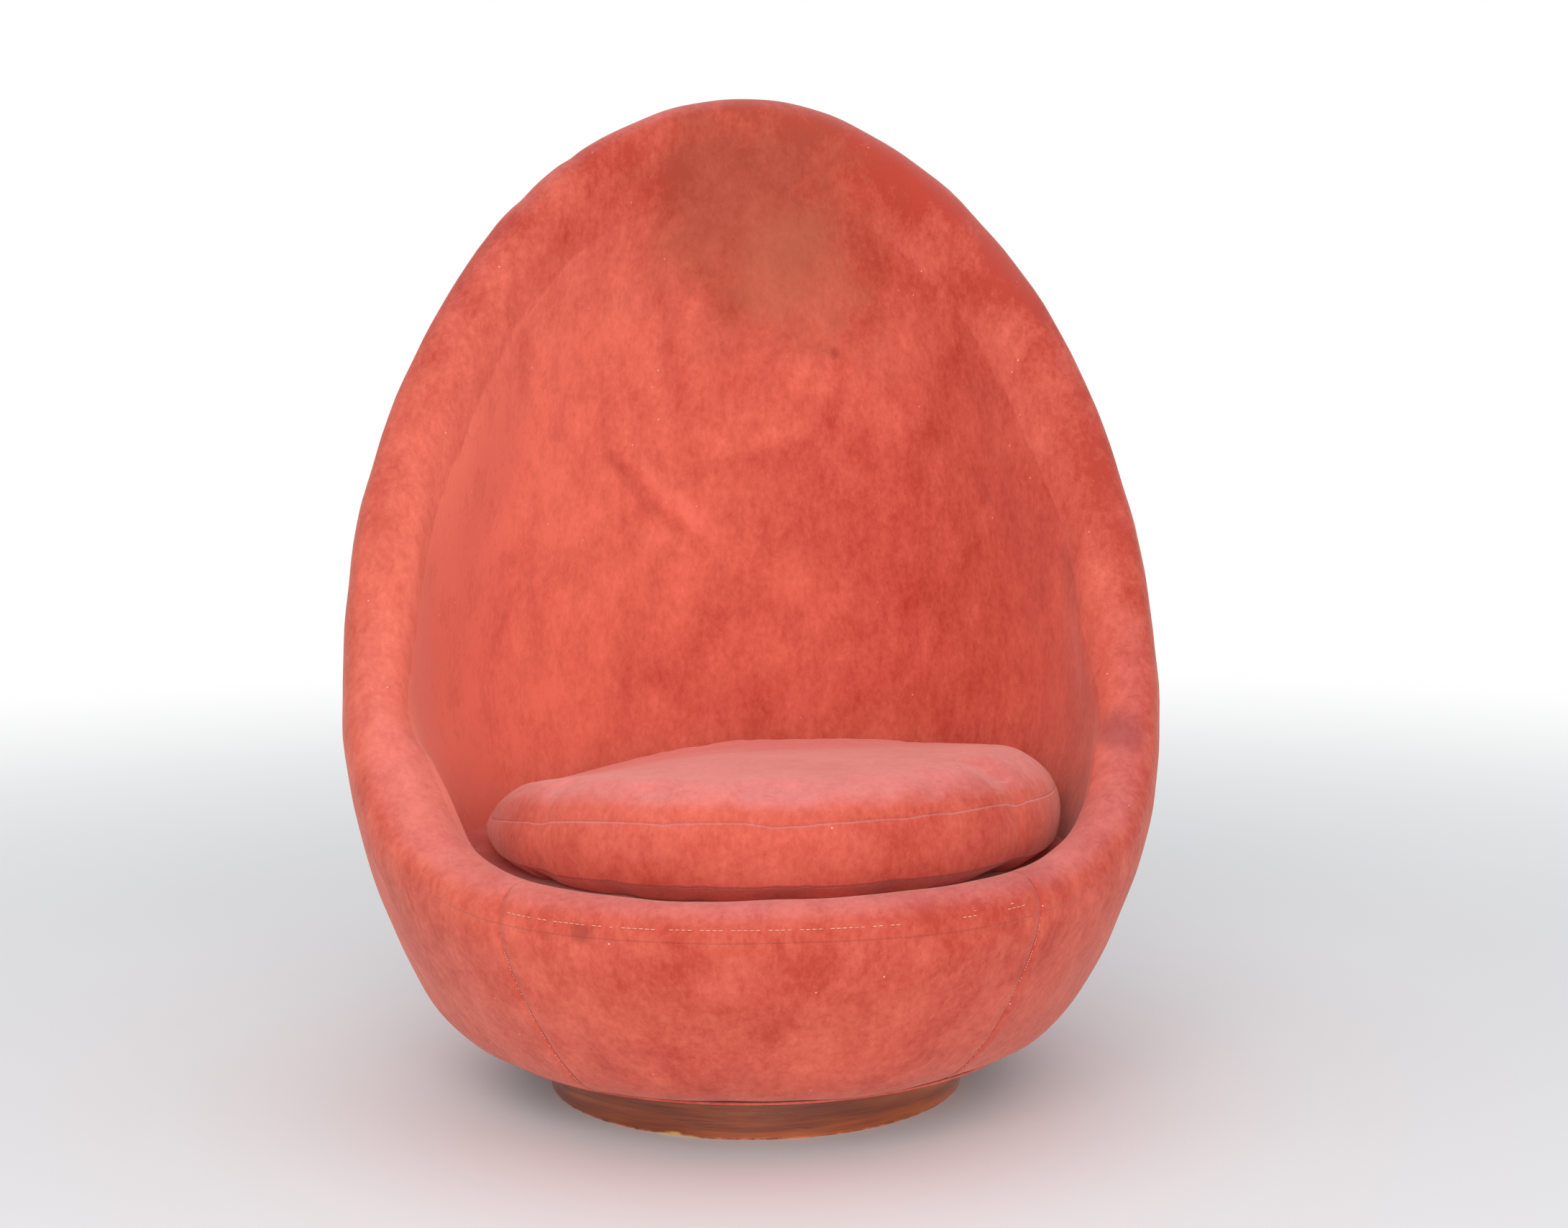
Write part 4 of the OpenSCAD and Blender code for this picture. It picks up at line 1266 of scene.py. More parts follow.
@dataclass
class Shell:
    """The egg's covers, foam and padding, with their seams, creases and stitching.

    A crease is its height, its width and the x and z of its path. A swell is a period and a height. A pair
    of painted shades is an even one and what the right side adds to it. A side's painted light is what the
    left and the right get, and the stations between which it comes in. A row of stitches is a station, the
    azimuths of its ends and the share that shows.
    """

    wall: Wall
    cover_t: float = 0.0025
    foam_face: float = 0.0312
    foam_back: float = 0.0137
    seam_depth: float = 0.0014
    seam_width: float = 0.0024
    creases: tuple[tuple[float, float, tuple[Pair, ...]], ...] = (
        (-0.0052, 0.0075, ((-0.165, 0.692), (-0.149, 0.647), (-0.135, 0.631), (-0.101, 0.584),
                           (-0.030, 0.518))),
        (0.0042, 0.012, ((-0.135, 0.671), (-0.121, 0.643), (-0.101, 0.620), (-0.051, 0.563),
                         (-0.020, 0.540))),
        (0.0022, 0.010, ((-0.160, 0.635), (-0.130, 0.604), (-0.110, 0.575))),
        (0.0030, 0.012, ((0.155, 0.827), (0.115, 0.776), (0.102, 0.731), (0.077, 0.675), (0.005, 0.655),
                         (-0.057, 0.637), (-0.082, 0.656), (-0.092, 0.723))),
        (-0.0034, 0.008, ((0.165, 0.817), (0.119, 0.769), (0.116, 0.712), (0.100, 0.665))),
        (-0.0022, 0.010, ((-0.232, 0.790), (-0.237, 0.700))),
        (0.0020, 0.012, ((-0.219, 0.800), (-0.217, 0.690))),
        (0.0026, 0.013, ((-0.111, 0.790), (-0.092, 0.734), (-0.082, 0.650))),
        (-0.0020, 0.014, ((-0.081, 0.800), (-0.072, 0.729), (-0.062, 0.690))),
        (0.0026, 0.018, ((-0.190, 0.920), (-0.185, 0.820))),
        (-0.0026, 0.014, ((0.150, 0.950), (0.195, 0.880))),
        (0.0018, 0.016, ((0.226, 0.900), (0.228, 0.780))),
        (0.0014, 0.014, ((0.167, 0.715), (0.157, 0.630))),
        (-0.0008, 0.004, ((-0.090, 0.455), (0.130, 0.454))),
    )
    bulge: float = 0.020
    bulge_azimuth: float = 70.0
    bulge_span: float = 32.0
    bulge_h: float = 0.30
    bulge_reach: float = 0.08
    puckers: tuple[Three, ...] = (
        (-0.264, 0.194, 0.898), (-0.233, 0.216, 0.939), (-0.185, 0.241, 0.986))
    pucker_depth: float = 0.0018
    lip_seam_share: float = 0.08
    rim_seam_share: float = 0.55
    seam_rise: float = 0.0007
    swells: tuple[Pair, ...] = ((0.21, 0.0012), (0.12, 0.0008), (0.065, 0.0004))
    gather_r: float = 0.36
    gather_period: float = 0.034
    gather_height: float = 0.0005
    # Painted light and shade added to the velvet's tone: lighter inside to the left and on the sides, darker
    # over the roll, on the crown and outside; the back's tone is only darker about one place.
    left_painted_light: float = 0.9
    roll_painted_shade: Pair = (-0.27, -0.18)
    crown_painted_shade: float = -0.32
    outside_painted_shade: Pair = (-0.12, -0.14)
    back_tone: float = -0.0525
    side_painted_light: tuple[Four, ...] = (
        (0.34, 0.16, 0.9, 2.0), (0.05, 0.12, 1.7, 2.15))
    fold_painted_shade: float = 50.0
    lip_stitches: tuple[Four, ...] = (
        (1.215, -34.5, 34.5, 0.72), (1.255, 16.0, 33.0, 0.35))
    stitch_r: float = 0.00042

    def mould(self) -> None:
        """Gives the wall its relief and its painted light and shade."""
        folds = self.folds()
        relief = self.seams() + self.waves() + self.gathers() + folds
        self.wall.relief = relief + self.pressed() + self.puckered()
        # The creases' heights, scaled, are painted shade in their hollows and painted light on their ridges.
        self.wall.nap = self.painted_light_tone() + self.fold_painted_shade * folds

    def inside(self) -> Array:
        """One on the inside and the slope, none on the roll and outside."""
        return (self.wall.station > 1.9).astype(float)

    def in_front(self) -> Array:
        """One over the front panel, eased to none past its side seams."""
        edge = self.wall.seam_azimuth
        return 1 - eased(np.abs(signed(self.wall.azimuth))[:, None], edge, edge + self.wall.seam_band)

    def seams(self) -> Array:
        """The relief of the seams: each lowers the cover by a bell of the distance, which rises beside it.

        The blind seam shows little under the lip, not at all at the sides and more behind. How near each
        point is to a seam is kept with the wall.

        Returns:
            The relief.
        """
        wall = self.wall
        level, side = wall.seam_distances()
        behind = eased(np.abs(signed(wall.azimuth))[:, None], 85.0, 125.0)
        blind = self.lip_seam_share * self.in_front() + self.rim_seam_share * behind
        wall.seam = np.maximum(blind * bell(level, self.seam_width), bell(side, self.seam_width))
        beside = np.maximum(blind * bell(level - 0.014, 0.008), bell(side - 0.011, 0.007))
        return self.seam_rise * beside - self.seam_depth * wall.seam

    def waves(self) -> Array:
        """Slow unevenness: four sine waves of each period, their directions and starts drawn at random.

        Returns:
            The relief.
        """
        rng = np.random.default_rng(5)
        total = np.zeros_like(self.wall.relief)
        for period, height in self.swells:
            for _ in range(4):
                way = unit(rng.normal(size=3)) * 2 * np.pi / period
                total = total + height / 2 * np.sin(self.wall.skin @ way + rng.uniform(0, 6.28))
        return total

    def gathers(self) -> Array:
        """Small upright gathers beside the lip's seam: a sine round the egg whose period wavers.

        Returns:
            The relief.
        """
        level, _ = self.wall.seam_distances()
        arc = np.radians(self.wall.azimuth)[:, None] * self.gather_r
        waves = np.sin(arc * 2 * np.pi / self.gather_period + 1.3 * np.sin(arc * 17))
        return self.gather_height * waves * bell(level - 0.010, 0.014) * self.in_front() * (level > 0.002)

    def folds(self) -> Array:
        """The creases of the inside cover, each a bell of the distance from its path."""
        inside = self.inside()
        return sum(height * inside * near_path(self.wall.skin, path, width)
                   for height, width, path in self.creases)

    def pressed(self) -> Array:
        """The swelling beside the cushion's left end: a bell of the azimuth times one of the height.

        Returns:
            The relief.
        """
        wall = self.wall
        sideways = bell(signed(wall.azimuth) + self.bulge_azimuth, self.bulge_span)[:, None]
        upright = bell(wall.skin[..., 2] - self.bulge_h, self.bulge_reach)
        return self.bulge * sideways * upright * eased(wall.station, 1.5, 2.0)

    def puckered(self) -> Array:
        """The puckers over the rim: each a narrow bell across the rim's line times a wide one about it.

        Returns:
            The relief.
        """
        turn = np.radians(self.wall.azimuth)[:, None]
        total = np.zeros_like(self.wall.relief)
        for centre in self.puckers:
            away = self.wall.skin - np.array(centre)
            sideways = away[..., 0] * np.cos(turn) + away[..., 1] * np.sin(turn)
            total -= self.pucker_depth * bell(sideways, 0.009) * bell(np.linalg.norm(away, axis=-1), 0.035)
        return total

    def painted_light_tone(self) -> Array:
        """Painted light and shade on the wall, 0 where there is none.

        It is the sum of these: painted light inside to the left, darker about a place in the back's middle,
        painted shade over the roll, on the crown and on the outside below the rim, more so to the right, and
        painted light on both sides.

        Returns:
            The tone that is added to the velvet's own.
        """
        wall = self.wall
        station, height, inside = wall.station, wall.skin[..., 2], self.inside()
        right = np.sin(np.radians(wall.azimuth))[:, None]
        from_back = np.linalg.norm((wall.skin - [0.0, 0.33, 0.70]) * [1.1, 0.4, 1.2], axis=-1)
        tone = np.clip(-self.left_painted_light * wall.skin[..., 0], -0.22, 0.28) * inside
        tone = tone + self.back_tone * bell(from_back, 0.11) * inside
        even, more = self.roll_painted_shade
        tone = tone + (even + more * right) * bell(station - 1.3, 0.5)
        tone = tone + self.crown_painted_shade * eased(height, 0.72, 1.0)
        even, more = self.outside_painted_shade
        tone = tone + (even + more * np.maximum(right, 0)) * (1 - eased(station, 0.75, 1.1))
        for on_left, on_right, low, high in self.side_painted_light:
            tone = tone + np.where(right < 0, on_left, on_right) * right ** 2 * eased(station, low, high)
        return tone

    def build(self, velvet: Material, foam: Material, thread: Material) -> list[Piece]:
        """Cuts every layer of the egg out of the moulded wall and sews it.

        Args:
            velvet: the covers' material.
            foam: the padding's material.
            thread: the stitches' material.

        Returns:
            The egg's new pieces.
        """
        self.mould()
        wall = self.wall
        face, seam, last = wall.form.half_wall, wall.seam_column, wall.station.shape[1]
        back, front, every = wall.rows(False), wall.rows(True), np.arange(len(wall.azimuth))
        made = []
        for name, node, rows, start, end in (
                ("cover_outside", "outside_cover", back, 0, seam + 1),
                ("cover_front_panel", "front_panel", front, 0, seam + 1),
                ("cover_inside", "inside_cover", back, seam, last),
                ("cover_front_lip", "front_lip", front, seam, last)):
            cover = wall.shell(rows, start, end, face, face - self.cover_t)
            made.append(cover.piece(name, Body.SEAT, Slot.VELVET, velvet, (node,)))
        rim = wall.rim_column() + 1
        for name, node, start, end in (("padding_outside", "outside_padding", 0, rim),
                                       ("foam_inside", "inside_foam", rim, last)):
            layer = wall.shell(every, start, end, self.foam_face, self.foam_back, True, False)
            padding = layer.piece(name, Body.SEAT, Slot.PADDING, foam, (node,))
            made.append(padding)
        return [*made, self.sew(thread)]

    def sew(self, thread: Material) -> Piece:
        """Lays the stitches of the lip and of the side seams; some are left out, sunk in the pile.

        Args:
            thread: the stitches' material.

        Returns:
            All stitches as one piece.
        """
        wall, form = self.wall, self.wall.form
        rng = np.random.default_rng(11)
        lines: list[Array] = []
        for station, first, end, share in self.lip_stitches:
            turn = np.linspace(first, end, int(abs(end - first) * 1.35))
            turn = turn[rng.uniform(size=len(turn)) < share]
            level = np.full(len(turn), station)
            lines.append(np.stack([form.at(turn + step, level, form.half_wall + 0.0002)
                                   for step in (-0.27, 0.27)], 1))
        for azimuth in (-wall.seam_azimuth, wall.seam_azimuth):
            level = np.linspace(0.06, 1.06, 74)
            level = level[rng.uniform(size=len(level)) < 0.6]
            turn = np.full(len(level), azimuth)
            lines.append(np.stack([form.at(turn, level + step, form.half_wall - self.seam_depth + 0.0004)
                                   for step in (-0.004, 0.004)], 1))
        sewn = stitches(np.concatenate(lines), self.stitch_r)
        return sewn.piece("thread_stitches", Body.SEAT, Slot.VELVET, thread)


def stitches(ends: Array, radius: float) -> MeshData:
    """Thin stitches: closed spindles of six sides through five rings, narrower towards both ends.

    Args:
        ends: shape (n, 2, 3), each stitch's two ends.
        radius: the thread's radius.

    Returns:
        One spindle for each stitch.
    """
    sides = 6
    start, end = ends[:, 0], ends[:, 1]
    way = unit(end - start)
    across = unit(np.cross(way, np.array([0.31, 0.22, 0.92])))
    third = np.cross(way, across)
    share = np.array([0.0, 0.1, 0.5, 0.9, 1.0])
    width = np.array([0.35, 0.85, 1.0, 0.85, 0.35]) * radius
    turn = np.linspace(0, 2 * np.pi, sides, endpoint=False)
    circle = np.cos(turn)[None, :, None] * across[:, None] + np.sin(turn)[None, :, None] * third[:, None]
    centre = start[:, None] + share[None, :, None] * (end - start)[:, None]
    points = centre[:, :, None] + width[None, :, None, None] * circle[:, None]
    n, k = len(ends), len(share)
    index = np.arange(n * k * sides).reshape(n, k, sides)
    after = np.roll(index, -1, 2)
    quads = np.stack([index[:, :-1], after[:, :-1], after[:, 1:], index[:, 1:]], -1)
    tips = n * k * sides + np.arange(2 * n).reshape(n, 2)
    low = np.stack([after[:, 0], index[:, 0], np.broadcast_to(tips[:, :1], (n, sides))], -1)
    high = np.stack([index[:, -1], after[:, -1], np.broadcast_to(tips[:, 1:], (n, sides))], -1)
    both = np.stack([start, end], 1).reshape(-1, 3)
    return MeshData(np.concatenate([points.reshape(-1, 3), both]), [quads, low, high])


@dataclass
class Deck:
    """The pad and the cloth under the cushion, with the hem and the lining under the egg."""

    form: EggForm
    bottom_h: float = 0.2063
    pad_t: float = 0.038
    cloth_t: float = 0.0025
    gap: float = 0.0003
    clearance: float = 0.003
    tuck: float = 0.0008
    middle: Pair = (0.0, -0.02)
    half_w: float = 0.3
    steps: int = 240
    hem_outer: float = 0.277
    hem_w: float = 0.036
    hem_top_h: float = 0.0563
    lining_inner: float = 0.114
    lining_outer: float = 0.2619
    lining_top_h: float = 0.0535
    lining_t: float = 0.0008

    def layer(self, bottom: float, top: float, ease: float, clearance: float) -> MeshData:
        """A flat layer that follows the bucket's inside, its edges eased.

        Rings shrink towards the middle on both faces, and the edge between them draws in by a fourth
        power of the distance from its mid height.

        Args:
            bottom: its lower face's height.
            top: its upper face's height.
            ease: how far in the edges are rounded.
            clearance: how far its edge stays from the bucket's inside; below 0 it reaches into it.

        Returns:
            The layer.
        """
        azimuth = np.linspace(0, 360, self.steps, endpoint=False)
        depth = self.form.half_wall + clearance
        low, high = (self.form.inside_plan(azimuth, depth, height) for height in (bottom, top))
        centre, inset = np.array(self.middle), ease / self.half_w
        shares = np.sqrt(np.linspace(0.0, 1.0, 26))[1:-1, None, None] * (1 - inset)
        rise = np.array([0.12, 0.35, 0.65, 0.88])
        pull = (1 - inset * (2 * rise - 1) ** 4)[:, None, None]
        edge = low + (high - low) * rise[:, None, None]
        plan = np.concatenate([centre + (low - centre) * shares, centre + (edge - centre) * pull,
                               centre + (high - centre) * shares[::-1]])
        flat = np.ones(len(shares))
        height = np.concatenate([bottom * flat, bottom + (top - bottom) * rise, top * flat])
        height = np.broadcast_to(height[:, None, None], (len(height), self.steps, 1))
        return capped(np.concatenate([plan, height], -1))

    def band(self, outer: float, inner: float, top: float, thick: float, ease: float) -> MeshData:
        """A flat ring with eased corners."""
        corners = [(outer, top - thick), (outer, top), (inner, top), (inner, top - thick)]
        return turned(eased_corners(corners, ease), 360)

    def build(self, velvet: Material, foam: Material, lining: Material) -> list[Piece]:
        """Makes the pad, its cloth, the hem and the lining.

        Args:
            velvet: the cloth's and the hem's material.
            foam: the pad's material.
            lining: the lining's material.

        Returns:
            The four pieces.
        """
        pad_top = self.bottom_h + self.pad_t
        pad = self.layer(self.bottom_h, pad_top, 0.003, self.clearance).piece(
            "deck_pad_foam", Body.SEAT, Slot.PADDING, foam, ("deck_pad",))
        cloth = self.layer(pad_top + self.gap, pad_top + self.gap + self.cloth_t, 0.0, -self.tuck)
        hem = self.band(self.hem_outer, self.hem_outer - self.hem_w, self.hem_top_h, self.cloth_t, 0.0009)
        under = self.band(self.lining_outer, self.lining_inner, self.lining_top_h, self.lining_t, 0.0003)
        return [
            pad,
            cloth.even(seam=0.0, nap=-0.2).piece(
                "deck_cloth_stretched", Body.SEAT, Slot.VELVET, velvet, ("deck_cloth",)),
            hem.piece("hem_turned_under", Body.SEAT, Slot.VELVET, velvet, ("cover_hem",)),
            under.piece("lining_under_egg", Body.SEAT, Slot.LINING, lining, ("dust_cover",)),
        ]


@dataclass
class Cushion:
    """The loose seat cushion: a boxed cover over foam, blown up as cloth and then cut into its panels."""

    form: EggForm
    clearance: float = 0.009
    outline_h: float = 0.2621
    middle: Pair = (0.0, -0.02)
    bottom_h: float = 0.2474
    lower_seam_h: float = 0.2651
    upper_seam_h: float = 0.3261
    right_slump: float = 0.012
    left_slump: float = 0.040
    back_slump: float = 0.022
    back_left_slump: float = 0.022
    left_gap: float = 0.036
    swell: float = 0.005
    plateau_h: float = 0.350
    roll_w: float = 0.026
    roll_lean: float = 0.95
    back_fall: float = 0.044
    left_fall: float = 0.037
    right_rise: float = 0.004
    cover_t: float = 0.0022
    radius: float = 0.30
    core_gap: float = 0.0025
    seam_depth: float = 0.0004
    seam_w: float = 0.0035
    seam_tone: float = 0.08
    cells: int = 96
    boxing_cells: int = 12
    pressure: float = 4.0
    frames: int = 20
    most_moved: float = 0.009
    zip_half_span: float = 27.0
    stuff: dict[str, float | int | bool] = field(default_factory=lambda: {
        "quality": 5, "mass": 0.3, "tension_stiffness": 15, "compression_stiffness": 15,
        "shear_stiffness": 5, "bending_stiffness": 0.6, "shrink_min": -0.012, "use_pressure": True})
    most_out: float = 0.0015
    free_h: float = 0.30
    free_slope: float = 0.3
    top: Array = field(init=False)
    bottom: Array = field(init=False)
    boxing: Array = field(init=False)
    border: Array = field(init=False)
    border_azimuth: Array = field(init=False)
    from_seam: Array = field(init=False)

    def __post_init__(self) -> None:
        """Lays the cushion's closed grid: the two discs of the top and the bottom and the boxing between.

        A square grid is drawn onto a disc: each of its coordinates is multiplied by the root of one less
        half the square of the other. The top rolls down to its seam along part of an ellipse, and the
        boxing swells between its seams as a parabola.
        """
        n = self.cells
        line = np.linspace(-1, 1, n + 1)
        line = line * (1.25 - 0.25 * line ** 2)
        u, v = np.meshgrid(line, line, indexing="ij")
        x, y = u * np.sqrt(1 - v * v / 2), v * np.sqrt(1 - u * u / 2)
        share, azimuth = np.hypot(x, y), np.degrees(np.arctan2(x, -y))
        plan = self.plan(azimuth, share)
        self.from_seam = (1 - share) * self.radius
        width = self.roll_w * (1 + 1.1 * eased(plan[..., 0], 0.05, 0.28))
        rolled = np.sqrt(1 - (self.roll_lean * (1 - np.minimum(self.from_seam / width, 1))) ** 2)
        rolled = 1 - (1 - rolled) / (1 - math.sqrt(1 - self.roll_lean ** 2))
        seam_h = self.upper_seam(azimuth)
        top_h = seam_h + (np.maximum(self.plateau(plan), seam_h + 0.004) - seam_h) * rolled
        bottom_h = self.bottom_h + (self.lower_seam_h - self.bottom_h) * share ** 8
        ring = np.arange(n)
        i = np.concatenate([ring, np.full(n, n), n - ring, np.zeros(n, int)])
        j = np.concatenate([np.zeros(n, int), ring, np.full(n, n), n - ring])
        self.border = np.stack([i, j])
        self.border_azimuth = azimuth[i, j]
        rise = np.linspace(0, 1, self.boxing_cells + 1)[1:-1]
        edge = self.plan(self.border_azimuth, np.ones(4 * n))
        out = unit(edge - np.array(self.middle))
        self.top = np.concatenate([plan, top_h[..., None]], -1)
        self.bottom = np.concatenate([plan, bottom_h[..., None]], -1)
        low, high = self.bottom[i, j, 2][:, None], self.top[i, j, 2][:, None]
        swollen = edge[:, None] + self.swell * (4 * rise * (1 - rise))[None, :, None] * out[:, None]
        self.boxing = np.concatenate([swollen, (low + (high - low) * rise)[..., None]], -1)

    def plan(self, azimuth: Array, share: Array) -> Array:
        """Points in plan at a share of the way from the middle to the outline.

        The outline keeps its distance from the bucket's inside; on the left the distance grows as the
        square of the sine.

        Args:
            azimuth: degrees from the front.
            share: 0 at the middle, 1 at the outline.

        Returns:
            Points of the same shape, and two.
        """
        turns = np.linspace(-180, 180, 721)
        gap = self.clearance + self.left_gap * np.maximum(0, -np.sin(np.radians(turns))) ** 2
        line = self.form.inside_plan(turns, self.form.half_wall + gap, self.outline_h)
        edge = np.stack([np.interp(azimuth, turns, line[:, k]) for k in range(2)], -1)
        return np.array(self.middle) + (edge - np.array(self.middle)) * share[..., None]

    def plateau(self, plan: Array) -> Array:
        """The top's height away from its rolled edge: it falls as a cosine to the back and eases down left.

        The fall to the back starts 0.2 m in front of the axis and takes half a metre. The fall to the left
        grows from the front edge to the axis, so that the front edge keeps its height.

        Args:
            plan: points in plan.

        Returns:
            The heights.
        """
        x, y = plan[..., 0], plan[..., 1]
        back = self.back_fall * (1 - np.cos(np.pi * np.clip((y + 0.2) / 0.5, 0, 1))) / 2
        left = self.left_fall * eased(-x, 0.0, 0.30) * eased(y, -0.33, 0.0)
        return self.plateau_h - back - left + self.right_rise * eased(x, 0.05, 0.25)

    def upper_seam(self, azimuth: Array) -> Array:
        """The upper seam's height: it drops by powers of the sine and the cosine, most on the left.

        Args:
            azimuth: degrees from the front.

        Returns:
            The heights.
        """
        c, s = np.cos(np.radians(azimuth)), np.sin(np.radians(azimuth))
        slump = self.right_slump * np.maximum(0, s) ** 3 + self.left_slump * np.maximum(0, -s) ** 3
        slump = slump + 2 * self.back_left_slump * np.maximum(0, -s) * np.maximum(0, -c)
        return self.upper_seam_h - slump - self.back_slump * np.maximum(0, -c) ** 2

    def joined(self) -> tuple[Array, Array]:
        """The top, the bottom and the boxing joined to one closed surface.

        Returns:
            Its points, in that order, and its quads.
        """
        n, rows = self.cells, self.boxing_cells
        size = (n + 1) ** 2
        top = np.arange(size).reshape(n + 1, n + 1)
        bottom = top + size
        inner = (2 * size + np.arange(4 * n * (rows - 1))).reshape(4 * n, rows - 1)
        side = self.side(top, bottom, inner)
        after = np.roll(side, -1, 0)
        quads = [np.stack([g[:-1, :-1], g[1:, :-1], g[1:, 1:], g[:-1, 1:]], -1).reshape(-1, 4)
                 for g in (top, bottom.T)]
        quads.append(np.stack([side[:, :-1], after[:, :-1], after[:, 1:], side[:, 1:]], -1).reshape(-1, 4))
        points = [grid.reshape(-1, 3) for grid in (self.top, self.bottom, self.boxing)]
        return np.concatenate(points), np.concatenate(quads)

    def grids(self, points: Array) -> tuple[Array, Array, Array]:
        """The closed surface's points as the three grids of the top, the bottom and the boxing."""
        first, second, rest = np.split(points, [self.top[..., 0].size, 2 * self.top[..., 0].size])
        return first.reshape(self.top.shape), second.reshape(self.top.shape), rest.reshape(self.boxing.shape)

    def take(self, points: Array) -> None:
        """Takes the closed surface's moved points back into the three grids."""
        self.top, self.bottom, self.boxing = self.grids(points)

    def simulated(self, points: Array, quads: Array) -> Array:
        """Where a closed cover's points are after it has been blown up as cloth, without gravity.

        Args:
            points: the cover's points.
            quads: its faces.

        Returns:
            The moved points. The mesh that was simulated is removed again.
        """
        mesh = bpy.data.meshes.new("cushion_simulated")
        mesh.from_pydata(points.tolist(), [], quads.tolist())
        made = bpy.data.objects.new("cushion_simulated", mesh)
        bpy.context.scene.collection.objects.link(made)
        cloth = made.modifiers.new("Cloth", "CLOTH")
        for key, value in self.stuff.items():
            setattr(cloth.settings, key, value)
        cloth.settings.uniform_pressure_force = self.pressure
        cloth.settings.effector_weights.gravity = 0
        cloth.collision_settings.use_collision = False
        cloth.point_cache.frame_start, cloth.point_cache.frame_end = 1, self.frames
        for step in range(1, self.frames + 1):
            bpy.context.scene.frame_set(step)
        result = made.evaluated_get(bpy.context.evaluated_depsgraph_get()).data
        moved = np.empty(len(points) * 3, np.float32)
        result.vertices.foreach_get("co", moved)
        bpy.data.objects.remove(made)
        bpy.data.meshes.remove(mesh)
        bpy.context.scene.frame_set(1)
        return moved.reshape(-1, 3).astype(float)

    def inflate(self) -> None:
        """Blows the closed cover up, with no point moved further than the cap, into the bucket or down."""
        points, quads = self.joined()
        delta = self.simulated(points, quads) - points
        length = np.linalg.norm(delta, axis=1, keepdims=True)
        log.info("cushion: moved up to %.1f mm as cloth before the cap", 1000 * float(length.max()))
        delta = delta * np.minimum(1, self.most_moved / np.maximum(length, 1e-9))
        out = unit(points[:, :2] - np.array(self.middle) + 1e-9)
        outward = (delta[:, :2] * out).sum(1)
        allowed = self.most_out + self.free_slope * np.clip(points[:, 2] - self.free_h, 0, 1)
        delta[:, :2] -= np.maximum(0, outward - allowed)[:, None] * out
        points = points + delta
        points[:, 2] = np.maximum(points[:, 2], self.bottom_h - 0.0001)
        self.take(points)

    def draw_in_seams(self) -> None:
        """Draws the cover in along both seams by a bell of the distance from them."""
        points, quads = self.joined()
        normals = vertex_normals(points, quads)
        near_disc = bell(self.from_seam, self.seam_w).ravel()
        near_side = bell(self.side_from_seam()[:, 1:-1], self.seam_w).ravel()
        near = np.concatenate([near_disc, near_disc, near_side])
        self.take(points - self.seam_depth * near[:, None] * normals)

    def inset(self, depth: float) -> Array:
        """The closed surface's points drawn in by a depth: towards the middle in plan, and in height.

        In plan each point moves by the depth times its share of the radius. In height the top and the
        bottom move by the depth, or by a quarter of the thickness there if that is less.

        Args:
            depth: how far.

        Returns:
            The moved points, in the closed surface's order.
        """
        i, j = self.border
        middle = np.array(self.middle)
        high, low = self.top[..., 2], self.bottom[..., 2]
        drawn = np.minimum(depth, 0.25 * (high - low))
        grids = []
        for grid, height in ((self.top, high - drawn), (self.bottom, low + drawn)):
            plan = middle + (grid[..., :2] - middle) * (1 - depth / self.radius)
            grids.append(np.concatenate([plan, height[..., None]], -1).reshape(-1, 3))
        half = ((high - low) / 2)[i, j][:, None]
        centre = ((high + low) / 2)[i, j][:, None]
        height = centre + (self.boxing[..., 2] - centre) * (1 - drawn[i, j][:, None] / half)
        plan = middle + (self.boxing[..., :2] - middle) * (1 - depth / self.radius)
        grids.append(np.concatenate([plan, height[..., None]], -1).reshape(-1, 3))
        return np.concatenate(grids)

    def side_from_seam(self) -> Array:
        """How far each of the boxing's points lies from the nearer seam.

        Returns:
            The heights between, both seams' rows among them.
        """
        rise = np.linspace(0, 1, self.boxing_cells + 1)
        tall = self.upper_seam(self.border_azimuth) - self.lower_seam_h
        return np.minimum(rise, 1 - rise)[None, :] * tall[:, None]

    def side(self, top: Array, bottom: Array, boxing: Array) -> Array:
        """The boxing's grid with the two seams' rows added."""
        i, j = self.border
        return np.concatenate([bottom[i, j][:, None], boxing, top[i, j][:, None]], 1)

    def panels(self) -> dict[str, MeshData]:
        """The cover's panels, each between the outer surface and the same drawn in by the cloth's thickness.

        Returns:
            The three panels as closed shells, and the foam inside them.
        """
        _, quads = self.joined()
        top, bottom, boxing = self.grids(self.inset(self.cover_t))
        seam = self.seam_tone * bell(self.from_seam, self.seam_w)
        seam_side = self.seam_tone * bell(self.side_from_seam(), self.seam_w)
        # Painted light: the top is lighter in its middle and to the left and darker towards its seam; the
        # bottom gets none and the boxing is darker all round.
        nap = -0.15 + (0.40 - 0.35 * self.top[..., 0]) * eased(self.from_seam, 0.004, 0.06)
        border, border_side = np.ones_like(seam), np.zeros_like(seam_side)
        border[1:-1, 1:-1] = 0
        border_side[:, [0, -1]] = 1
        return {
            "top": closed_shell(self.top, top, False, {"seam": seam, "nap": nap, "border": border}),
            "bottom": closed_shell(self.bottom.swapaxes(0, 1), bottom.swapaxes(0, 1), False,
                                   {"seam": seam.T, "nap": 0 * seam, "border": border}),
            "boxing": closed_shell(self.side(self.top, self.bottom, self.boxing),
                                   self.side(top, bottom, boxing), True,
                                   {"seam": seam_side, "nap": 0 * seam_side - 0.15, "border": border_side}),
            "core": MeshData(self.inset(self.cover_t + self.core_gap), [quads]),
        }

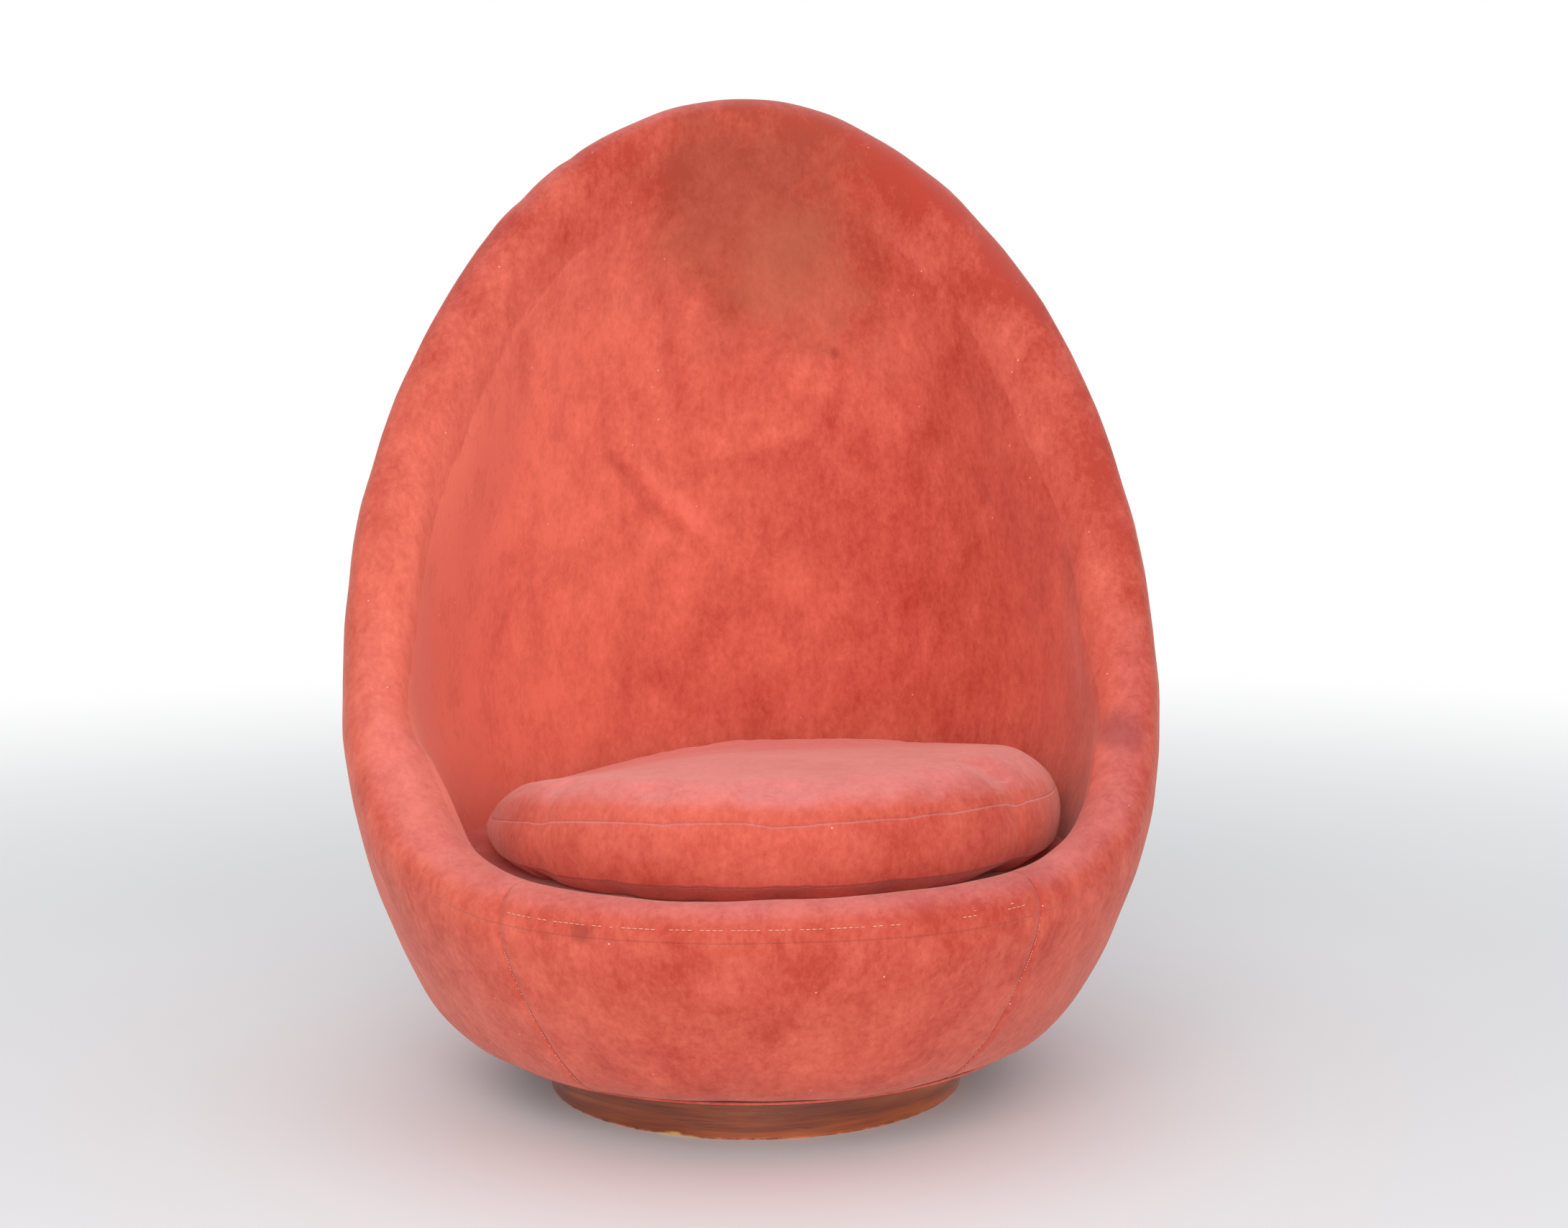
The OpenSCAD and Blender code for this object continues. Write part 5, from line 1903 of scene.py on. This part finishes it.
    def build(self, velvet: Material, foam: Material, metal: Material) -> list[Piece]:
        """Inflates the cushion, sews it and adds the zip.

        Args:
            velvet: the cover's material.
            foam: the filling's material.
            metal: the zip's material.

        Returns:
            The cushion's new pieces.
        """
        self.inflate()
        self.draw_in_seams()
        data = self.panels()
        made = []
        for key, node in (("top", "cushion_top_panel"), ("bottom", "cushion_bottom_panel"),
                          ("boxing", "cushion_boxing")):
            panel = data[key].piece("seat_" + node, Body.CUSHION, Slot.VELVET, velvet, (node,))
            self.subdivide(panel)
            made.append(panel)
        core = data["core"].piece("seat_cushion_core", Body.CUSHION, Slot.PADDING, foam, ("cushion_foam",))
        return [*made, core, *self.close_zip(velvet, metal)]

    def subdivide(self, piece: Piece) -> None:
        """Gives a piece one subdivision that keeps its borders sharp.

        Args:
            piece: a panel whose points have the value border, 1 on its borders.
        """
        mesh = piece.data
        border = np.empty(len(mesh.vertices), np.float32)
        mesh.attributes["border"].data.foreach_get("value", border)
        ends = np.empty(2 * len(mesh.edges), np.int32)
        mesh.edges.foreach_get("vertices", ends)
        crease = (border[ends.reshape(-1, 2)] > 0.5).all(1).astype(np.float32)
        mesh.attributes.new("crease_edge", "FLOAT", "EDGE").data.foreach_set("value", crease)
        smooth = piece.modifiers.new("Subdivision", "SUBSURF")
        smooth.levels = smooth.render_levels = 1

    def close_zip(self, velvet: Material, metal: Material) -> list[Piece]:
        """Lays the zip on the back of the boxing.

        Args:
            velvet: the tape's material.
            metal: the coil's, the slider's and the pull's material.

        Returns:
            The tape, the coil, the slider and its pull.
        """
        order = np.argsort(self.border_azimuth % 360)
        span = np.abs((self.border_azimuth % 360)[order] - 180) <= self.zip_half_span
        grid = self.boxing[order[span]]
        normals = unit(np.cross(np.gradient(grid, axis=0), np.gradient(grid, axis=1)))
        half = (self.boxing_cells - 1) // 2
        face, out = grid[:, half - 2:half + 3], normals[:, half - 2:half + 3]
        tape = closed_shell(face + 0.0011 * out, face + 0.0003 * out).even(seam=0.3, nap=-0.25).piece(
            "seat_cushion_zip_tape", Body.CUSHION, Slot.VELVET, velvet, ("cushion_zip_tape",))
        middle, away = grid[:, half], normals[:, half]
        return [tape, self.zip_coil(middle, away, metal), *self.zip_slider(middle, away, metal)]

    def zip_coil(self, middle: Array, away: Array, metal: Material) -> Piece:
        """The coil: short upright spindles at even steps along the zip.

        Args:
            middle: points along the zip on the boxing.
            away: the unit directions away from the boxing there.
            metal: the coil's material.

        Returns:
            The coil.
        """
        length = np.concatenate([[0], np.cumsum(np.linalg.norm(np.diff(middle, axis=0), axis=1))])
        at = np.arange(0.004, length[-1] - 0.004, 0.0024)
        centre, raised = (np.stack([np.interp(at, length, line[:, k]) for k in range(3)], -1)
                          for line in (middle, away))
        lift = centre + 0.0015 * unit(raised)
        up = np.array([0.0, 0.0, 0.0026])
        return stitches(np.stack([lift - up, lift + up], 1), 0.0008).piece(
            "seat_cushion_zip_coil", Body.CUSHION, Slot.BRASS, metal)

    def zip_slider(self, middle: Array, away: Array, metal: Material) -> list[Piece]:
        """The slider at the zip's closed end and the pull that hangs from it, leaning a little outwards.

        Args:
            middle: points along the zip on the boxing.
            away: the unit directions away from the boxing there.
            metal: their material.

        Returns:
            The slider and the pull.
        """
        end = int(np.argmin(middle[:, 0]))
        near = middle[end] * 0.88 + middle[end - 2 if end else 2] * 0.12
        out = away[end]
        across = unit(np.cross(out, [0.0, 0.0, 1.0]))
        slider = bar(near + 0.0027 * out, across, out, (0.0055, 0.0016, 0.0034)).piece(
            "seat_cushion_zip_slider", Body.CUSHION, Slot.BRASS, metal, ("cushion_zip_slider",))
        hang = unit(np.array([0.0, 0.0, -1.0]) + 0.12 * out)
        level = unit(out - (out @ hang) * hang)
        pull = bar(near + 0.0050 * out + 0.0095 * hang, hang, level, (0.0105, 0.0006, 0.0026)).piece(
            "seat_cushion_zip_pull", Body.CUSHION, Slot.BRASS, metal)
        return [slider, pull]


@dataclass(frozen=True)
class Lamp:
    """A round soft light that faces the chair's middle."""

    name: str
    place: Three
    size: float
    power: float
    tint: Colour

    def hang(self, aim: Vector) -> None:
        """Makes the light and turns it towards a point."""
        data = bpy.data.lights.new(self.name, "AREA")
        data.shape, data.size, data.energy, data.color = "DISK", self.size, self.power, self.tint
        lamp = bpy.data.objects.new(self.name, data)
        lamp.location = self.place
        lamp.rotation_euler = (aim - Vector(self.place)).to_track_quat("-Z", "Y").to_euler()
        bpy.context.scene.collection.objects.link(lamp)


@dataclass
class Studio:
    """The floor, the lights and the camera."""

    lens: float = 50.0
    sensor: float = 36.0
    distance: float = 2.25
    eye_azimuth: float = -2.77
    eye_height: float = 0.684
    pitch: float = -5.0
    pan: float = 0.81
    roll: float = 0.3
    floor_size: float = 30.0
    aim: Three = (0.0, 0.0, 0.5)
    lamps: tuple[Lamp, ...] = (
        Lamp("key", (-0.9, -3.4, 2.3), 2.4, 42.0, (1.0, 0.985, 0.96)),
        Lamp("front", (0.5, -4.4, 1.3), 3.4, 74.0, (0.98, 0.99, 1.0)),
        Lamp("top", (0.0, -0.4, 3.2), 2.8, 10.0, (1.0, 1.0, 1.0)),
    )
    surround: Colour = (0.83, 0.85, 0.89)
    surround_strength: float = 0.72

    def build(self) -> None:
        """Sets the whole stage."""
        bpy.context.scene.view_settings.view_transform = "Standard"
        self.place_camera()
        self.lay_floor()
        self.light()

    def place_camera(self) -> None:
        """Puts the camera where the photograph was taken from."""
        turn = math.radians(self.eye_azimuth)
        eye = Vector((math.sin(turn) * self.distance, -math.cos(turn) * self.distance, self.eye_height))
        heading = turn - math.radians(self.pan)
        basis = Euler((math.radians(90 + self.pitch), 0, heading)).to_matrix().to_4x4()
        roll = Matrix.Rotation(-math.radians(self.roll), 4, "Z")
        data = bpy.data.cameras.new("camera")
        data.lens, data.sensor_width = self.lens, self.sensor
        camera = bpy.data.objects.new("camera", data)
        camera.matrix_world = Matrix.Translation(eye) @ basis @ roll
        bpy.context.scene.collection.objects.link(camera)
        bpy.context.scene.camera = camera

    def lay_floor(self) -> None:
        """Lays a pale level floor that passes into the plain white background further away."""
        half = self.floor_size / 2
        mesh = bpy.data.meshes.new("floor")
        corners = [(-half, -half, 0), (half, -half, 0), (half, half, 0), (-half, half, 0)]
        mesh.from_pydata(corners, [], [(0, 1, 2, 3)])
        floor = bpy.data.objects.new("floor", mesh)
        bpy.context.scene.collection.objects.link(floor)
        material = bpy.data.materials.new("floor_paint")
        material.use_nodes = True
        g = Graph(material.node_tree)
        shader = g.node("BsdfPrincipled")
        place = g.object_place()
        clouds = g.noise(place, 1.5, 3.0, 0.5)
        g.put(shader.inputs["Base Color"], g.mix(clouds, srgb(236, 236, 236), srgb(242, 242, 242)))
        g.put(shader.inputs["Roughness"], 0.75)
        far = g.times(g.spread(g.length(place), 0.7, 4.0), g.seen())
        white = g.node("Emission", {"Color": (1.0, 1.0, 1.0), "Strength": 1.0})
        both = g.node("MixShader", {0: far, 1: shader.outputs[0], 2: white.outputs[0]})
        g.node("OutputMaterial", {"Surface": both.outputs[0]})
        mesh.materials.append(material)

    def light(self) -> None:
        """Hangs large soft lights and a pale surround, which shows as plain white."""
        for lamp in self.lamps:
            lamp.hang(Vector(self.aim))
        world = bpy.data.worlds.new("surround")
        bpy.context.scene.world = world
        world.use_nodes = True
        g = Graph(world.node_tree)
        back = g.node("Background", {"Color": self.surround, "Strength": self.surround_strength})
        clear = g.node("Background", {"Color": (1.0, 1.0, 1.0), "Strength": 1.0})
        both = g.node("MixShader", {0: g.seen(), 1: back.outputs[0], 2: clear.outputs[0]})
        g.node("OutputWorld", {"Surface": both.outputs[0]})


def velvet_patches() -> tuple[Patch, ...]:
    """The patches of other colour on the covers.

    Returns:
        Two at the head, a spot under them, one on the right side of the rim and one on the lip.
    """
    return (
        Patch((0.024, 0.262, 0.905), (0.170, 0.08, 0.22), srgb(150, 80, 58), 0.50, 1.5),
        Patch((0.066, 0.272, 0.850), (0.085, 0.07, 0.12), srgb(206, 128, 98), 0.26, 1.1),
        Patch((0.111, 0.299, 0.765), (0.008, 0.05, 0.009), srgb(140, 48, 38), 0.45, 0.4),
        Patch((0.364, -0.108, 0.376), (0.032, 0.05, 0.034), srgb(136, 44, 46), 0.55, 0.8),
        Patch((-0.170, -0.356, 0.238), (0.013, 0.03, 0.012), srgb(130, 48, 40), 0.5, 0.5),
    )


def finishes(effects: Effects) -> dict[Slot, Material]:
    """Builds the material of every slot.

    Args:
        effects: the effects that finishes share.

    Returns:
        Each slot's material.
    """
    made: dict[Slot, Finish] = {
        Slot.VELVET: Velvet("velvet_coral", patches=velvet_patches()),
        Slot.WALNUT: Wood("walnut_lacquered", srgb(118, 48, 20), srgb(196, 96, 40), lines=70.0, wave=0.03,
                          gloss=0.34, coat=0.6, hoop_r=0.215),
        Slot.PLYWOOD: Wood("plywood_bare", srgb(182, 140, 92), srgb(218, 182, 132), lines=50.0, wave=0.04,
                           gloss=0.68),
        Slot.ZINC: Metal("zinc_plated_steel", (0.56, 0.57, 0.60), (0.38, 0.37, 0.35), 0.42),
        Slot.POLISHED: Metal("ground_steel", (0.66, 0.66, 0.67), (0.45, 0.44, 0.42), 0.2),
        Slot.LINING: Cloth("lining_cloth", srgb(38, 38, 41), srgb(66, 62, 58), 2400.0, 0.0002),
        Slot.WEBBING: Cloth("jute_webbing", srgb(150, 118, 76), srgb(112, 84, 50), 1500.0, 0.0005),
        Slot.BOARD: Cloth("fibre_board", srgb(168, 138, 98), srgb(136, 106, 70), 600.0, 0.0002),
        Slot.PADDING: Foam("upholstery_foam"),
        Slot.BRASS: Metal("zip_brass", (0.72, 0.52, 0.24), (0.36, 0.26, 0.14), 0.35),
    }
    return {slot: finish.build(effects) for slot, finish in made.items()}


def dress_nodes(made: dict[Slot, Material]) -> None:
    """Gives every node of the model the material of its slot.

    Args:
        made: each slot's material.
    """
    for part in frame["record"]["subparts"]:
        node = frame["nodes"][part["node"]]
        finish = made[Slot(part["material_slot"])]
        for place in node.material_slots:
            place.material = finish


def report(part: str, pieces: list[Piece]) -> None:
    """Logs each new piece of a part with the number of its points."""
    for piece in pieces:
        log.info("%s: %s, %d points", part, piece.name, len(piece.data.vertices))


def main() -> None:
    """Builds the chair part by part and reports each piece."""
    logging.basicConfig(level=logging.INFO, format="%(name)s: %(message)s")
    effects = Effects()
    made = finishes(effects)
    thread = Thread("sewing_thread").build(effects)
    # The cushion's velvet: less clouded and streaked, with a stronger painted sheen on what faces up.
    worn = Velvet("velvet_coral_worn_painted_sheen", painted_top_sheen=0.40, cloud=0.7, streak=0.25).build(effects)
    dress_nodes(made)
    velvet, foam = made[Slot.VELVET], made[Slot.PADDING]
    report("plinth", Plinth().build(made[Slot.WALNUT]))
    form = EggForm()
    report("egg", Shell(Wall(form)).build(velvet, foam, thread))
    report("deck", Deck(form).build(velvet, foam, made[Slot.LINING]))
    report("cushion", Cushion(form).build(worn, foam, made[Slot.BRASS]))
    Studio().build()


if __name__ == "__main__":
    main()
